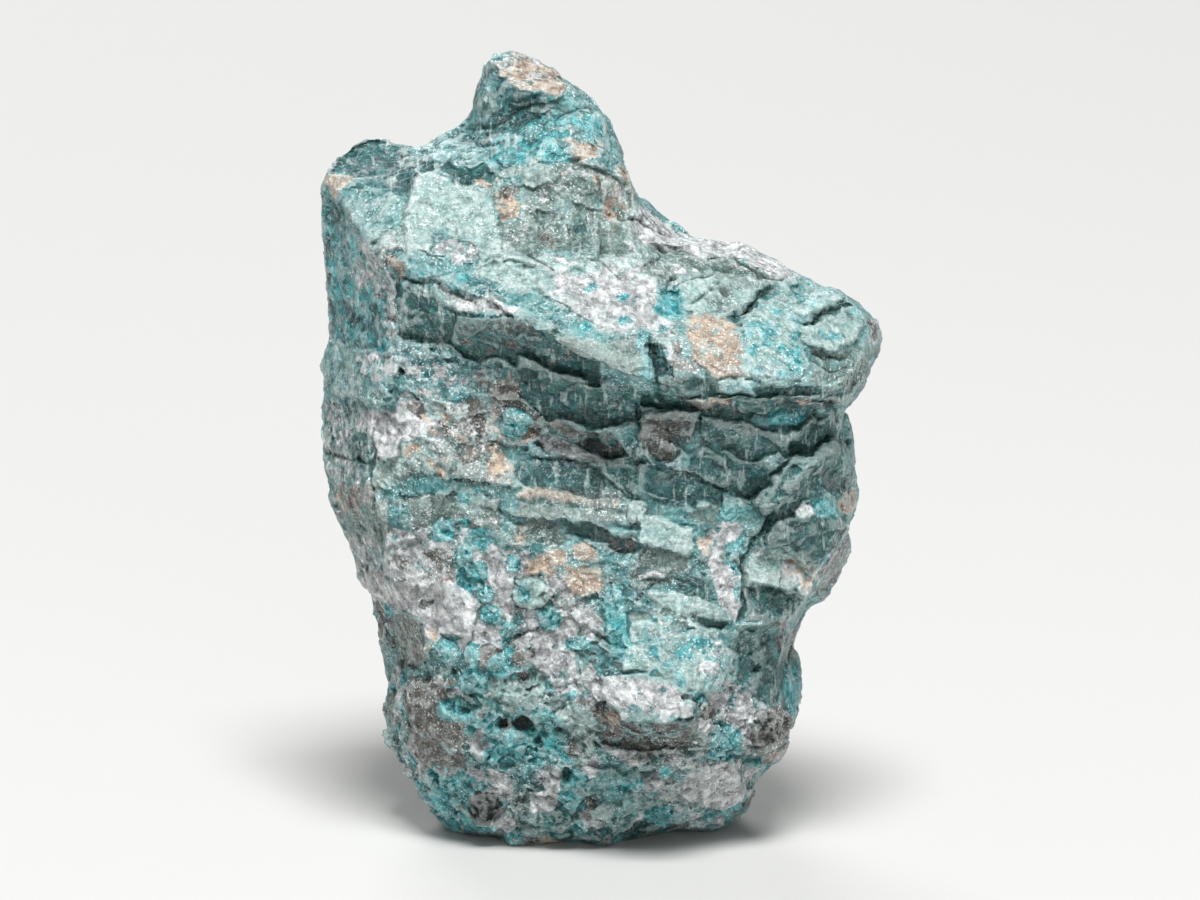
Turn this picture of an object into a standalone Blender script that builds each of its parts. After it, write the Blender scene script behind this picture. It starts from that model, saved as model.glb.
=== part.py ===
"""A rough amazonite stone: a broken block of teal feldspar and quartz that stands on a small flat spot.

The stone is 118 mm tall, 84 mm wide and 63 mm deep. Its shape is drawn the way one looks at it, from the
front and a little above: every point is (across, up, back) in millimetres, where across runs to the right,
up runs along the eye's own upright and back runs away from the eye. Ridge lines and valley lines carry a
skin, the skin is closed and made even, and then the stone's broken surface is worked into it.
"""
import math

import bmesh
import bpy
from mathutils import Vector, noise
from mathutils.geometry import delaunay_2d_cdt

MM = 0.001
EYE_TILT = math.radians(12)

BASE_HEIGHT = 0.0

# The even skin that carries the surface, in metres, and the count of flat facets it ends as
SKIN_GRID = 0.8 * MM
FACET_COUNT = 9600

# Cleavage chips of the feldspar, in millimetres: how deep, how tilted, how large, and the fall of the bands
CHIP_DEPTH = 0.9
CHIP_TILT = 0.9
CHIP_SIZE = Vector((12.0, 7.0, 10.0))
BAND_DIP = 0.26

# Grains of the lower stone, in millimetres, and the height up to which they are the surface
GRAIN_DEPTH = 1.3
GRAIN_SIZE = 5.0
GRAIN_ZONE_TOP = 30.0
GRAIN_ZONE_FADE = 14.0
GRAIN_ZONE_WANDER = 7.0
GRAIN_ZONE_WAVE = 17.0

# Above the resting face the roughness grows from nothing over this height, in millimetres
CALM_HEIGHT = 4.0

# The edge of the stone as the eye sees it, clockwise from the tip of the horn
OUTLINE = [
    (-13, 118, 8), (-9, 116.5, 8), (-5, 113.5, 7), (-1, 110.5, 6), (1.5, 107, 5), (3.5, 103, 4),
    (4.5, 99, 2), (5, 96, 0), (7, 95.5, 10), (10, 93, 11), (14, 90, 10), (18.5, 89.5, 6),
    (22, 88.5, 5), (25.5, 86.5, 4), (29.5, 84.5, 3), (33, 82.5, 2), (37, 80, 1), (40, 78.5, 0),
    (42, 77, -1), (42.5, 74, -3), (41.5, 71, -5), (39.5, 68, -7), (37, 64.5, -7), (37, 62, 0),
    (38, 59, 2), (38, 55.5, 2), (39, 52, 1), (39, 49, 0), (37.5, 46, -1), (38, 43, 2), (37, 40, 3),
    (34.5, 35.5, 3), (31, 33, 3), (30, 30, 4), (29.5, 27, 4), (30.5, 23.5, 3), (30, 19, 3),
    (29, 14.5, 3), (27, 10.5, 3), (23.5, 7.5, 2), (22.5, 4, 1), (20.5, 1.5, 0), (17, -0.5, -1),
    (12, 0, -1), (7, -1, -4), (4.5, -1.5, -6), (0.5, -2.5, -10), (-4, -1.5, -7), (-9, -2, -8.5),
    (-14, -2.5, -10), (-15.5, -1, -4), (-19.5, -1, -2), (-23, 0, -1), (-24.5, 2, -1), (-27, 5, 0),
    (-29.5, 9.5, 2), (-31.5, 13, 3), (-32, 17.5, 4), (-32, 22, 4), (-33.5, 28, 4), (-34.5, 34, 5),
    (-36.5, 40.5, 5), (-38.5, 46, 5), (-40.5, 50.5, 5), (-42, 55, 5), (-42, 62, 6), (-42, 64.5, 6),
    (-41.5, 66.5, 6), (-42, 70, 6), (-41, 74, 6), (-41, 80, 6), (-41.5, 85.5, 6), (-42, 91, 5),
    (-42, 95.5, 4), (-41, 99, 3), (-38.5, 102, 5), (-36, 104, 7), (-33.5, 104.5, 8), (-29.5, 103.5, 9),
    (-27, 103, 9), (-25, 104, 9), (-22, 105.5, 9), (-20.5, 106.5, 9), (-19.5, 107, 8.5),
    (-18.5, 111, 7), (-17.5, 114.5, 7), (-16, 117, 8),
]

# The horn at the top, with its flat cap and the hollow below it
HORN = [
    [(-15.5, 114, 2.5), (-13, 112, -1.5), (-10, 110, -3.5), (-6.5, 110.5, -2), (-5, 112.5, 1)],
    [(-17.5, 110, 3), (-17.5, 106, 1), (-18, 102.5, -2)],
    [(-14, 108, 0), (-10.5, 106.5, -1), (-6, 108.5, -1.5), (-1.5, 109.5, 1)],
    [(-15.5, 103, -5), (-10, 104, -5.5), (-5, 106.5, -6), (-2, 108, -4), (1, 107, -1.5),
     (2.8, 103.5, -3)],
    [(-15, 101, -7), (-9, 101.5, -9), (-2, 102, -9), (3.4, 100.5, -5)],
]

# The left shoulder and the prow of two triangular faces under it
SHOULDER = [
    [(-23, 103, 2), (-19.5, 102, 0)],
    [(-37.5, 98, -0.5), (-34, 97, -3), (-31, 96.5, -4.5), (-29, 95.5, -5.5), (-28, 100, -4),
     (-24, 99, -4.5), (-20, 98, -7)],
    [(-40.5, 98.5, 0), (-37.5, 97, -3), (-34, 96, -5.5), (-31, 95, -7.5), (-28.5, 94.5, -9),
     (-29, 91.5, -12.5), (-29.5, 88, -16), (-29, 85.5, -18)],
    [(-29, 91.5, -12.5), (-32, 89.5, -13), (-34, 87.5, -13.5)],
    [(-40.5, 98.5, 0), (-38.5, 94.5, -3.5), (-36.5, 91, -8.5), (-34, 87.5, -13.5), (-32, 85, -16.5),
     (-29, 82.5, -19)],
    [(-40.5, 95, 2), (-38, 91.5, -1.5), (-36, 88, -6), (-33.5, 84.5, -11), (-30.5, 81.5, -15.5)],
]

# The big pale cleavage face and the ledge that it ends in
PALE_FACE = [
    [(-27.5, 98.5, -8), (-24, 98, -9), (-20, 96.5, -10), (-16, 97.5, -10.5), (-12, 99.5, -11),
     (-6, 100, -11.5), (0, 99, -10.5), (4.2, 97.5, -6), (5.3, 94.5, -6), (7, 92.5, -5), (9, 91, -4),
     (11, 89.5, -2), (15, 89, 1)],
    [(-27.5, 98.5, -8), (-28, 95.5, -11), (-28, 91, -14.5), (-28.5, 88.5, -17), (-28, 86.5, -19)],
    [(-25.5, 90, -15), (-19.5, 89, -15.5), (-12, 89, -15.5), (-6, 89, -15), (0, 89, -13.5), (4, 89, -11.5)],
    [(-24, 83.5, -20), (-15, 83, -21), (-6, 81.5, -22.5), (1.5, 79.5, -23), (6, 80, -21.5), (8, 83, -16.5),
     (7, 88.5, -10)],
    [(-29, 82.5, -19), (-24, 80, -21), (-18, 78, -24), (-12, 77, -27), (-8, 75.5, -28.5),
     (-3.5, 73.5, -29.5), (0, 71.5, -30.5), (4, 70, -31), (7, 68.5, -31.5), (7, 72, -30), (7, 74, -28)],
    [(8, 73, -26), (8, 68, -26.5)],
]

# The right wing: a folded upper slope, its front edge and the undercut below
WING = [
    [(9, 73.5, -28.5), (9.5, 69.5, -29.5), (13.5, 68.5, -30), (17, 67.5, -30), (23, 68, -30),
     (28.5, 67, -28.5), (33, 67, -26), (36.5, 67.5, -22), (38.5, 70, -16), (39.5, 73, -11.5),
     (40, 76.5, -7)],
    [(8.5, 67, -27), (13.5, 66, -29), (18, 65.5, -29.5), (24, 65.5, -29), (30, 65, -27),
     (34.5, 65, -23), (37, 65.5, -17)],
    [(7.5, 65.5, -24.5), (15, 64, -24), (22.5, 63, -23.5), (30, 63.5, -20.5), (35, 63, -15)],
    [(9, 87, -9), (13.5, 87.5, -6), (17, 86, -7), (21, 85.5, -8), (23.5, 84, -10), (28, 83, -9.5)],
    [(11, 82, -15), (17, 83, -12.5), (22, 82, -11.5), (25.5, 80, -13), (29, 79, -13)],
    [(20.5, 77, -18), (22.5, 79, -16), (24, 80, -15)],
    [(21, 75.5, -22), (25, 77.5, -18.5), (30, 78.5, -15)],
    [(12, 78, -20), (16, 73.5, -26.5), (22.5, 72.5, -27), (29, 72, -25)],
    [(30, 76.5, -18), (32.5, 79, -13.5), (36.5, 80, -7)],
    [(31.5, 74.5, -21), (34.5, 73, -20.5), (37, 74.5, -15), (38.5, 77.5, -9)],
]

# The throat below the ledge and the second lip under it
THROAT = [
    [(-20.5, 64, -18.5), (-15, 63, -20), (-8, 62, -22.5), (-4, 60.5, -23.5), (2, 60.5, -24),
     (6, 61.5, -24.5), (6, 57.5, -24.5), (9.5, 56, -25.5), (12.5, 58.5, -25), (15, 58, -24),
     (20, 56.5, -24.5), (23.5, 56, -24.5), (28.5, 56.5, -23), (32, 58, -20), (34.5, 59.5, -16)],
    [(-15, 60.5, -18), (-7.5, 59.5, -18), (-1.5, 58.5, -17.5), (3.5, 57.5, -19)],
    [(6, 56.5, -22), (9.5, 55, -22.5), (12.5, 55, -22), (15, 54, -22), (21.5, 53, -21.5)],
    [(-12, 52, -21.5), (-6, 51, -22), (0, 50, -23), (4, 49, -23)],
    [(-24, 72.5, -19), (-18, 69.5, -19.5), (-6, 66.5, -22.5), (1.5, 65.5, -24)],
]

# The finger, the cracks beside it and the square block under it
FINGER_AND_BLOCK = [
    [(24.5, 49.5, -25.5), (28, 52, -25.5), (32, 55.5, -23.5), (35, 58, -19)],
    [(25, 47, -22), (29.5, 50, -21), (33.5, 53.5, -18), (36, 55.5, -13)],
    [(34, 58.5, -13), (32.5, 58, -17), (29, 56.5, -20.5), (26, 53.5, -22), (23.5, 51, -23)],
    [(26, 45.5, -23), (31, 46.5, -21.5), (35.5, 47.5, -16)],
    [(25.5, 48, -22.5), (22.5, 43, -22), (21, 39, -22), (21, 32.5, -22)],
    [(37, 46.5, -12), (34.5, 42.5, -14.5), (32.5, 40, -16), (30.5, 36, -17), (29.5, 34.5, -15.5)],
    [(21.5, 31.5, -22.5), (23.5, 31, -22), (24.5, 32, -21.5), (28, 32.5, -18.5), (30, 33.5, -13)],
    [(21.5, 29.5, -18.5), (24, 29.5, -17), (28, 31, -13.5)],
    [(20.5, 21.5, -18), (24, 20, -16.5), (26.5, 19, -14)],
]

# The left corner of the front, the hollow beside it and the smoky lump under that
LEFT_SIDE = [
    [(-29, 82.5, -19), (-30, 78.5, -17.5), (-30.5, 73, -17), (-32, 67, -15.5), (-33.5, 62.5, -14.5),
     (-34, 57.5, -14), (-34.5, 52, -14), (-33.5, 49, -14.5), (-32, 41, -14), (-29, 35, -13)],
    [(-36, 80, -5), (-37, 73, -4), (-38, 65, -1.5), (-38.5, 57.5, -2.5), (-38, 51.5, -4),
     (-35.5, 44, -4.5)],
    [(-26.5, 32, -14.5), (-25.5, 28, -16), (-24.5, 25, -16), (-25, 21.5, -15), (-24.5, 19.5, -14.5)],
    [(-29, 31.5, -9), (-27.5, 27.5, -10), (-26.5, 24, -11)],
    [(-29, 19, -9), (-27.5, 22.5, -12), (-26, 14.5, -13), (-22, 13, -14.5)],
    [(-23.5, 2, -2.5), (-20, 0.5, -6.5), (-17.5, 0, -9)],
]

# The pale lobe low on the front
LOBE = [
    [(2, 25.5, -24), (7.5, 26, -25), (12, 23, -26.5), (15, 23.5, -24.5)],
    [(0.5, 22, -24.5), (6, 20, -27.5), (11, 19.5, -27.5), (14, 19, -25.5)],
    [(1, 19, -24.5), (3.5, 17.5, -25.5), (6, 16, -26), (10, 16.5, -26), (14, 17, -24.5)],
    [(0, 17.5, -21), (3.5, 15.5, -21.5), (7, 14.5, -22), (13.5, 15, -21.5)],
]

# Single high and low points of the lower front
FRONT_POINTS = [
    (-24, 59, -18.5), (-30, 56, -16), (-21, 54.5, -20), (-24, 45.5, -18.5), (-30, 46, -16), (-12, 41, -21),
    (-3, 39.5, -22), (6, 41, -23), (15, 41, -23.5), (13.5, 47.5, -23.5), (6, 35, -23), (15, 33.5, -23.5),
    (18, 27.5, -22.5), (17.5, 24.5, -22), (6, 29, -23.5), (-6, 32, -21.5), (-15, 35, -20.5),
    (-22.5, 36.5, -18), (-18, 27.5, -20), (-6, 26, -21), (-18, 20, -19), (-6, 18.5, -20.5), (17, 19, -20),
    (15, 10.5, -17), (21, 6.5, -10.5), (19, 3, -6), (13.5, 2.5, -10.5), (6, 5, -15), (0, 10, -18.5),
    (-9, 12, -18), (-18, 10, -15.5), (-24, 6.5, -9), (-20.5, 3, -9), (-12, 3.5, -14), (-3, 2.5, -14.5),
    (-13, -1, -11), (-6, -0.5, -11.5), (1, -1, -12), (7.5, 1, -10), (-28, 10, -5), (-31, 20, -2),
    (-31, 27.5, -1), (23.5, 26, -15.5), (26.5, 25.5, -12), (18, 14, -17.5), (24, 14, -14.5), (28, 15, -8),
]

# The back: a blunt keel with cleaved slopes beside it
BACK_POINTS = [
    (-13, 113, 15), (-6, 108.5, 18), (0, 104, 17), (-16.5, 108, 17), (-30, 98, 20), (-19.5, 96.5, 22),
    (-9, 95, 24), (3, 92.5, 23), (15, 84.5, 21), (27, 80, 17), (36.5, 75.5, 9), (-38, 90.5, 16),
    (-39, 75.5, 19), (-38, 60.5, 19), (-37.5, 50, 18), (-22.5, 80, 28), (-6, 75.5, 31), (9, 72.5, 29),
    (24, 69.5, 22), (33.5, 65.5, 14), (-30, 57.5, 26), (-15, 57.5, 31), (0, 54.5, 32), (15, 54.5, 29),
    (28.5, 53, 20), (35, 50, 11), (-30, 35, 20), (-19.5, 35, 28), (-3, 32, 29), (12, 32, 27),
    (25, 33.5, 19), (-27, 17, 16), (-18, 17, 23), (-3, 17, 25), (12, 17, 23), (23, 17, 15),
    (-22.5, 3, 15), (-12, 3, 21), (0, 3, 22), (12, 3, 19), (19.5, 4, 11), (-19.5, 1, 12), (-9, 0, 12),
    (0, -1, 10), (9, 1, 12),
]


def clear_scene():
    """Leaves an empty scene."""
    for thing in list(bpy.data.objects):
        bpy.data.objects.remove(thing)


def seen(across, up, back):
    """Turns a point as the eye sees it into the stone's own upright frame, in metres."""
    return Vector((across, back, up / math.cos(EYE_TILT) - back * math.tan(EYE_TILT))) * MM


def as_seen(point):
    """Turns a point of the stone's own frame, in metres, into (across, up, back) in millimetres."""
    up = (point.z + point.y * math.tan(EYE_TILT)) * math.cos(EYE_TILT)
    return Vector((point.x, up, point.y)) / MM


def relief(outline, lines, points):
    """Spans triangles inside the outline through every line and point, and returns points and triangles."""
    drawn = list(outline)
    edges = []
    for line in lines:
        for start, end in zip(line, line[1:]):
            edges.append((place_of(start, drawn), place_of(end, drawn)))
    for point in points:
        place_of(point, drawn)
    flat = [Vector((across, up)) for across, up, back in drawn]
    rim = list(range(len(outline)))[::-1]
    corners, _, triangles, sources, _, _ = delaunay_2d_cdt(flat, edges, [rim], 1, 1e-6)
    return [drawn[source[0]] for source in sources], triangles


def place_of(point, drawn):
    """Gives the place of a point in the list, and adds the point if its spot is new."""
    for place, other in enumerate(drawn):
        if point[:2] == other[:2]:
            return place
    drawn.append(point)
    return len(drawn) - 1


def skin_over_lines():
    """Closes the front relief and the back relief along the outline that they share."""
    skin = bmesh.new()
    corners = {}
    front_lines = HORN + SHOULDER + PALE_FACE + WING + THROAT + FINGER_AND_BLOCK + LEFT_SIDE + LOBE
    for lines, points in ((front_lines, FRONT_POINTS), ([], BACK_POINTS)):
        drawn, triangles = relief(OUTLINE, lines, points)
        for triangle in triangles:
            spots = [drawn[place] for place in triangle]
            for spot in spots:
                if spot not in corners:
                    corners[spot] = skin.verts.new(seen(*spot))
            skin.faces.new([corners[spot] for spot in spots])
    bmesh.ops.recalc_face_normals(skin, faces=skin.faces)
    return skin


def mesh_with(thing, kind, settings):
    """Gives the thing a modifier, keeps its result as the mesh and takes the modifier away."""
    modifier = thing.modifiers.new(kind, kind)
    for name, value in settings.items():
        setattr(modifier, name, value)
    evaluated = thing.evaluated_get(bpy.context.evaluated_depsgraph_get())
    thing.data = bpy.data.meshes.new_from_object(evaluated)
    thing.modifiers.remove(modifier)


def smooth_step(low, high, value):
    """Rises smoothly from 0 at low to 1 at high."""
    share = min(max((value - low) / (high - low), 0.0), 1.0)
    return share * share * (3.0 - 2.0 * share)


def cleavage_chips(spot):
    """Gives the flat chips that feldspar breaks into, each tilted its own way, drawn out along the bands."""
    banded = Vector((spot.x - BAND_DIP * spot.y, spot.y + BAND_DIP * spot.x, spot.z))
    place = Vector(length / size for length, size in zip(banded, CHIP_SIZE))
    middle = noise.voronoi(place + 0.25 * noise.noise_vector(place * 1.7))[1][0]
    tilt = noise.noise_vector(middle * 5.3) * CHIP_TILT
    return CHIP_DEPTH * (noise.noise(middle * 9.1) + tilt.dot(place - middle))


def grain_lumps(spot):
    """Gives the rounded grains of quartz and feldspar, raised in the middle and low where they meet."""
    distances, _ = noise.voronoi(spot / GRAIN_SIZE)
    return GRAIN_DEPTH * (0.5 - distances[0] ** 2)


def broken_surface(mesh):
    """Moves every corner of the even skin along its normal by the stone's own roughness."""
    shifts = []
    for corner in mesh.vertices:
        spot = as_seen(corner.co)
        wander = GRAIN_ZONE_WANDER * noise.noise(spot / GRAIN_ZONE_WAVE)
        low = 1.0 - smooth_step(GRAIN_ZONE_TOP - GRAIN_ZONE_FADE, GRAIN_ZONE_TOP, spot.y + wander)
        calm = smooth_step(0.0, CALM_HEIGHT, corner.co.z / MM)
        shift = low * grain_lumps(spot) + (1.0 - low) * cleavage_chips(spot)
        shifts.append(corner.normal * shift * calm * MM)
    for corner, shift in zip(mesh.vertices, shifts):
        corner.co += shift


def cut_flat_base(mesh):
    """Cuts the stone off at its resting plane and closes the cut with one flat face."""
    stone = bmesh.new()
    stone.from_mesh(mesh)
    everything = stone.verts[:] + stone.edges[:] + stone.faces[:]
    bmesh.ops.bisect_plane(stone, geom=everything, dist=0.00002, plane_co=(0, 0, BASE_HEIGHT),
                           plane_no=(0, 0, -1), clear_outer=True)
    rim = [edge for edge in stone.edges if edge.is_boundary]
    bmesh.ops.holes_fill(stone, edges=rim, sides=0)
    bmesh.ops.triangulate(stone, faces=[face for face in stone.faces if len(face.verts) > 3])
    bmesh.ops.recalc_face_normals(stone, faces=stone.faces)
    stone.to_mesh(mesh)
    stone.free()


def stand_on_origin(mesh):
    """Puts the middle of the stone's base box at the origin."""
    across = [corner.co.x for corner in mesh.vertices]
    back = [corner.co.y for corner in mesh.vertices]
    shift = Vector(((min(across) + max(across)) / 2, (min(back) + max(back)) / 2, BASE_HEIGHT))
    for corner in mesh.vertices:
        corner.co -= shift


def amazonite_material():
    """Makes the teal of amazonite feldspar with its glassy shine."""
    material = bpy.data.materials.new("amazonite")
    material.use_nodes = True
    shader = material.node_tree.nodes["Principled BSDF"]
    shader.inputs["Base Color"].default_value = (0.14, 0.38, 0.36, 1.0)
    shader.inputs["Roughness"].default_value = 0.45
    shader.inputs["Metallic"].default_value = 0.0
    return material


def build_stone():
    """Builds the stone as one closed solid."""
    collection = bpy.data.collections.new("rough_amazonite_stone")
    bpy.context.scene.collection.children.link(collection)
    mesh = bpy.data.meshes.new("rough_amazonite")
    skin = skin_over_lines()
    skin.to_mesh(mesh)
    skin.free()
    stone = bpy.data.objects.new("rough_amazonite", mesh)
    collection.objects.link(stone)
    mesh_with(stone, "REMESH", {"mode": "VOXEL", "voxel_size": SKIN_GRID})
    broken_surface(stone.data)
    mesh_with(stone, "TRIANGULATE", {})
    mesh_with(stone, "DECIMATE", {"ratio": FACET_COUNT / len(stone.data.polygons)})
    cut_flat_base(stone.data)
    stand_on_origin(stone.data)
    stone.data.materials.append(amazonite_material())


clear_scene()
build_stone()
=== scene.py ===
"""The look of the rough amazonite: its broken surface in fine relief, its minerals and a plain pale studio.

Places on the front of the stone are given as it is looked at: (across, up) in millimetres, where across runs
to the right and up runs along the eye's own upright. The eye looks down on the stone by EYE_TILT.
"""
import math

import bmesh
import bpy
import numpy as np
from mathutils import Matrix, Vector


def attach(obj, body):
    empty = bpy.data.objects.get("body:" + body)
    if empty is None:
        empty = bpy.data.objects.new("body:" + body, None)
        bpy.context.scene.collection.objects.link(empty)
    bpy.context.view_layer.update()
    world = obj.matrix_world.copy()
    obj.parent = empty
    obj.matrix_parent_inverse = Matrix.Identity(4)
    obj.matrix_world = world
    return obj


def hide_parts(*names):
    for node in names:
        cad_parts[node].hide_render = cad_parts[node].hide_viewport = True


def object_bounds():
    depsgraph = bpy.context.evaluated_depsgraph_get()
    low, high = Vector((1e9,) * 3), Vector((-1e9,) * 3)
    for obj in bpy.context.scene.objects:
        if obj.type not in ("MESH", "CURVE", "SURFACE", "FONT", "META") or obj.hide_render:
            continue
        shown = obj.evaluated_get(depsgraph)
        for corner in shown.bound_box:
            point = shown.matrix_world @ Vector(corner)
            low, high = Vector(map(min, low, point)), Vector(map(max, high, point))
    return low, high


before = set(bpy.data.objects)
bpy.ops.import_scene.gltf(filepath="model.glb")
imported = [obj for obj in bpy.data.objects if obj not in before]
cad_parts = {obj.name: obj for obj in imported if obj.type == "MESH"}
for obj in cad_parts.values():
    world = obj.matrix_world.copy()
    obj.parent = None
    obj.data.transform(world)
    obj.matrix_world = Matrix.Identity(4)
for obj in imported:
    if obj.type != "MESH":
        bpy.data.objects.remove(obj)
solid_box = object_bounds()

MM = 0.001
EYE_TILT = math.radians(12)
TOWARDS_EYE = np.array([0.0, -math.cos(EYE_TILT), math.sin(EYE_TILT)])

# Millimetres from the middle of the drawing to the middle of the stone's base box, across and back
DRAWING_SHIFT = (0.1, 0.6)

SKIN_GRID = 0.4 * MM
JOIN_DISTANCE = 0.01 * MM
SOFTEN_ROUNDS = 4
MOST_TRIANGLES = 194000

# How far outside the box of the solid the fine skin may reach, in millimetres
BOX_SPARE = 0.3

# How squarely a place faces the eye, 1 squarely and -1 turned away, where the drawn features of the front
# start and are full, where its drawn faces do, and where the back does
FRONT_EDGE = (-0.05, 0.3)
STEADY_EDGE = (0.1, 0.5)
BACK_EDGE = (-0.2, -0.6)

# Over how many millimetres the relief grows from the flat spot up
FOOT_RISE = 3.0

# The photographer's frame: its width and the height of its middle, the lens and the width of its sensor, in
# millimetres, and how far the camera sees, in metres
FRAME_WIDTH = 180.0
FRAME_MIDDLE = 57.5
LENS = 300.0
SENSOR = 36.0
SIGHT = 20.0

# How far out a patch, a pit and a crystal start and are full, where 1 is the drawn rim; a crystal's colour
# starts a little farther out than its shape, and its rim wanders
PATCH_EDGE = (1.6, 0.5)
PIT_EDGE = (1.3, 0.5)
CRYSTAL_EDGE = (1.15, 0.8)
CRYSTAL_COLOUR_EDGE = (1.25, 0.85)
CRYSTAL_WANDER = 0.3

# Chips of the cleaved feldspar and of the crumbly parts: size across, up and back, depth and tilt
CLEAVED_CHIPS = [((8.0, 4.0, 6.0), 0.34, 1.0), ((3.0, 1.5, 2.4), 0.2, 1.0), ((1.3, 0.8, 1.2), 0.12, 1.0)]
CRUMBLY_CHIPS = [((4.4, 3.4, 3.8), 0.7, 1.0), ((2.2, 1.8, 2.0), 0.4, 1.0), ((1.0, 0.9, 0.9), 0.2, 1.1)]

# How much of the chips the drawn faces and the rims lose and the back gains, how wide a rim is in facing,
# and how much of the crumbly grains the drawn faces lose
CALM_FACES = 0.35
CALM_RIMS = 0.45
BACK_GAIN = 0.7
RIM_WIDTH = 0.3
CRUMBLY_LOSS = 0.75

# Soft noise as rows of reach, size in millimetres and seed: the fine hackle of broken faces, how drawn
# lines wander aside and up, how the rims of the crumbly parts wander, and how the minerals' rims do
HACKLE = ((0.08, 1.3, 0), (0.12, 3.1, 0))
WANDER_ASIDE = ((0.25, 1.1, 70), (0.55, 3.0, 75))
WANDER_UP = ((0.25, 1.1, 80), (0.55, 3.0, 85))
CRUMBLY_WANDER = ((6.0, 16.0, 0), (2.5, 5.0, 0))
MINERAL_WANDER = ((0.25, 2.2, 40), (0.2, 6.0, 50))

# How far the feldspar's bands fall to the right
BAND_DIP = 0.26

# The grains that the colours of the crumbly parts follow, how high up the crumbly foot reaches and over what
# height it then is full, in millimetres; how much the rims of the other crumbly parts wander
GRAIN_SIZE = 3.3
FOOT_TOP = 30.0
FOOT_FADE = 12.0
PART_WANDER = 0.06

# Crumbly parts of the front outside the foot: across, up, half width, half height, turn, strength
CRUMBLY = [
    (-22, 59, 7, 5, 0, 1), (-24, 42, 9, 8, 0, 0.9), (-10, 34, 9, 7, 0, 0.9), (-32, 38, 4, 9, 0, 1),
    (-10, 60, 4, 3, 0, 0.8), (18, 42, 3, 8, 5, 0.9), (6, 27, 9, 4, 0, 0.7), (-3, 57, 5, 1.5, -18, 0.9),
    (35, 40, 2, 5, -30, 0.8), (-31, 59, 4, 4, 0, 0.9), (-38, 52, 3, 7, 0, 0.7),
]

# How fully the drawn faces are flattened, and by how many millimetres at most; from what depth inside their
# outlines their shape and their minerals start and are full, and how far outside they are looked for
FLATNESS = 0.8
MOST_FLATTENED = 0.8
SHAPE_EDGE = (-0.2, 0.25)
MINERAL_EDGE = (-1.3, 0.5)
EDGE_REACH = 1.4

# How hollows are found: rounds of softening for the near and the wide surroundings, and what each counts
NEAR_ROUNDS, WIDE_ROUNDS = 6, 40
NEAR_WEIGHT, WIDE_WEIGHT = 1.6, 0.7

# Flat cleavage faces of the front: minerals and how fully they cover it, how far it stands out in its
# middle, how much further it stands out for each millimetre up, and its corners as (across, up)
SHOULDER_FACES = [
    ({"deep": 1.4}, -0.3, 0, [(-40.5, 98.3), (-38.3, 102.2), (-34.2, 104), (-30, 103.7), (-27.2, 101.3),
     (-27.3, 99.2), (-28.4, 95), (-31.5, 95.9), (-35.7, 97.4), (-39, 98.6)]),
    ({"quartz": 0.9, "peach": 0.9}, 0.3, -0.2, [(-41, 98.6), (-39, 98.4), (-35.7, 97.1), (-37.2, 96.5),
     (-38.3, 94.2), (-39.8, 95.3)]),
    ({"pale": 0.55}, 0.3, -0.04, [(-35.7, 97.1), (-31.5, 95.7), (-28.4, 94.8), (-28.5, 91.7), (-30.8, 89.7),
     (-33.8, 88.2), (-36, 90.2), (-38.3, 94.2), (-37.2, 96.5)]),
    ({"pale": 0.85, "quartz": 0.6}, -0.1, 0.1, [(-33.8, 88.2), (-28.8, 90.8), (-28.4, 85.7), (-32.3, 85.7),
     (-34.4, 86.6)]),
    ({"smoky": 1, "peach": 0.8}, -0.3, 0.4, [(-34.4, 86.4), (-28.4, 85.5), (-27.8, 84.2), (-28.5, 82.2),
     (-31.2, 83.3), (-33.8, 85.7)]),
    ({"deep": 1.2}, -0.4, 0.3, [(-27, 101), (-24, 101), (-19.5, 98.6), (-15, 99.5), (-15.8, 97), (-19.5, 97),
     (-24, 98.3), (-27, 99.5)]),
    ({"pale": 0.5}, 0.3, -0.1, [(-26.3, 104), (-20.7, 106.5), (-18.8, 103.2), (-16.5, 100.2), (-19.5, 99.2),
     (-24, 101.3), (-27, 102.2)]),
]
HORN_FACES = [
    ({"deep": 0.9, "cyan": 0.7}, 0, 0, [(-18, 116.3), (-15.5, 114.8), (-14.6, 111.5), (-15, 108.5),
     (-16.5, 105.5), (-19.5, 105.5), (-19.2, 110.7)]),
    ({"sage": 1.2, "quartz": 0.85, "smoky": 0.72, "peach": 0.72}, 0.4, -0.05, [(-15.5, 114.8),
     (-13.5, 116.6), (-11.3, 117.5), (-8.3, 115.7), (-6.3, 113.7), (-5.1, 111.5), (-6, 110.3), (-7.8, 110.4),
     (-9.8, 110), (-12, 111), (-13.8, 112.7), (-15, 113.3)]),
    ({"peach": 1.1}, 0.5, 0, [(-13.5, 112.5), (-9, 112), (-5.5, 112), (-6, 110.5), (-9.8, 110.2),
     (-12, 111)]),
    ({"deep": 1.1, "cyan": 0.5}, -0.3, 0.2, [(-15, 110), (-9, 110), (-6, 108.5), (-12, 105.5), (-18, 104),
     (-17.3, 107)]),
    ({"cyan": 0.75, "deep": 0.85}, 0.1, 0, [(-12, 105.5), (-3.8, 108.5), (0, 107), (2.3, 102.5), (0.5, 99),
     (-9, 98.7), (-16.5, 98.5), (-18, 103.2)]),
    ({"cyan": 1.2, "deep": 0.9}, 0, 0.1, [(-9, 103.7), (-4.5, 104), (-3.5, 101.2), (-7, 100),
     (-9.5, 100.5)]),
    ({"quartz": 0.9, "peach": 0.85}, 0.1, -0.2, [(-5.7, 103.5), (0, 102.8), (0.3, 101), (-4, 101)]),
    ({"peach": 1.1}, 0, 0, [(2.6, 99.8), (4.8, 97.5), (5, 94.8), (3.9, 95.5), (3, 98)]),
]
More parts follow.
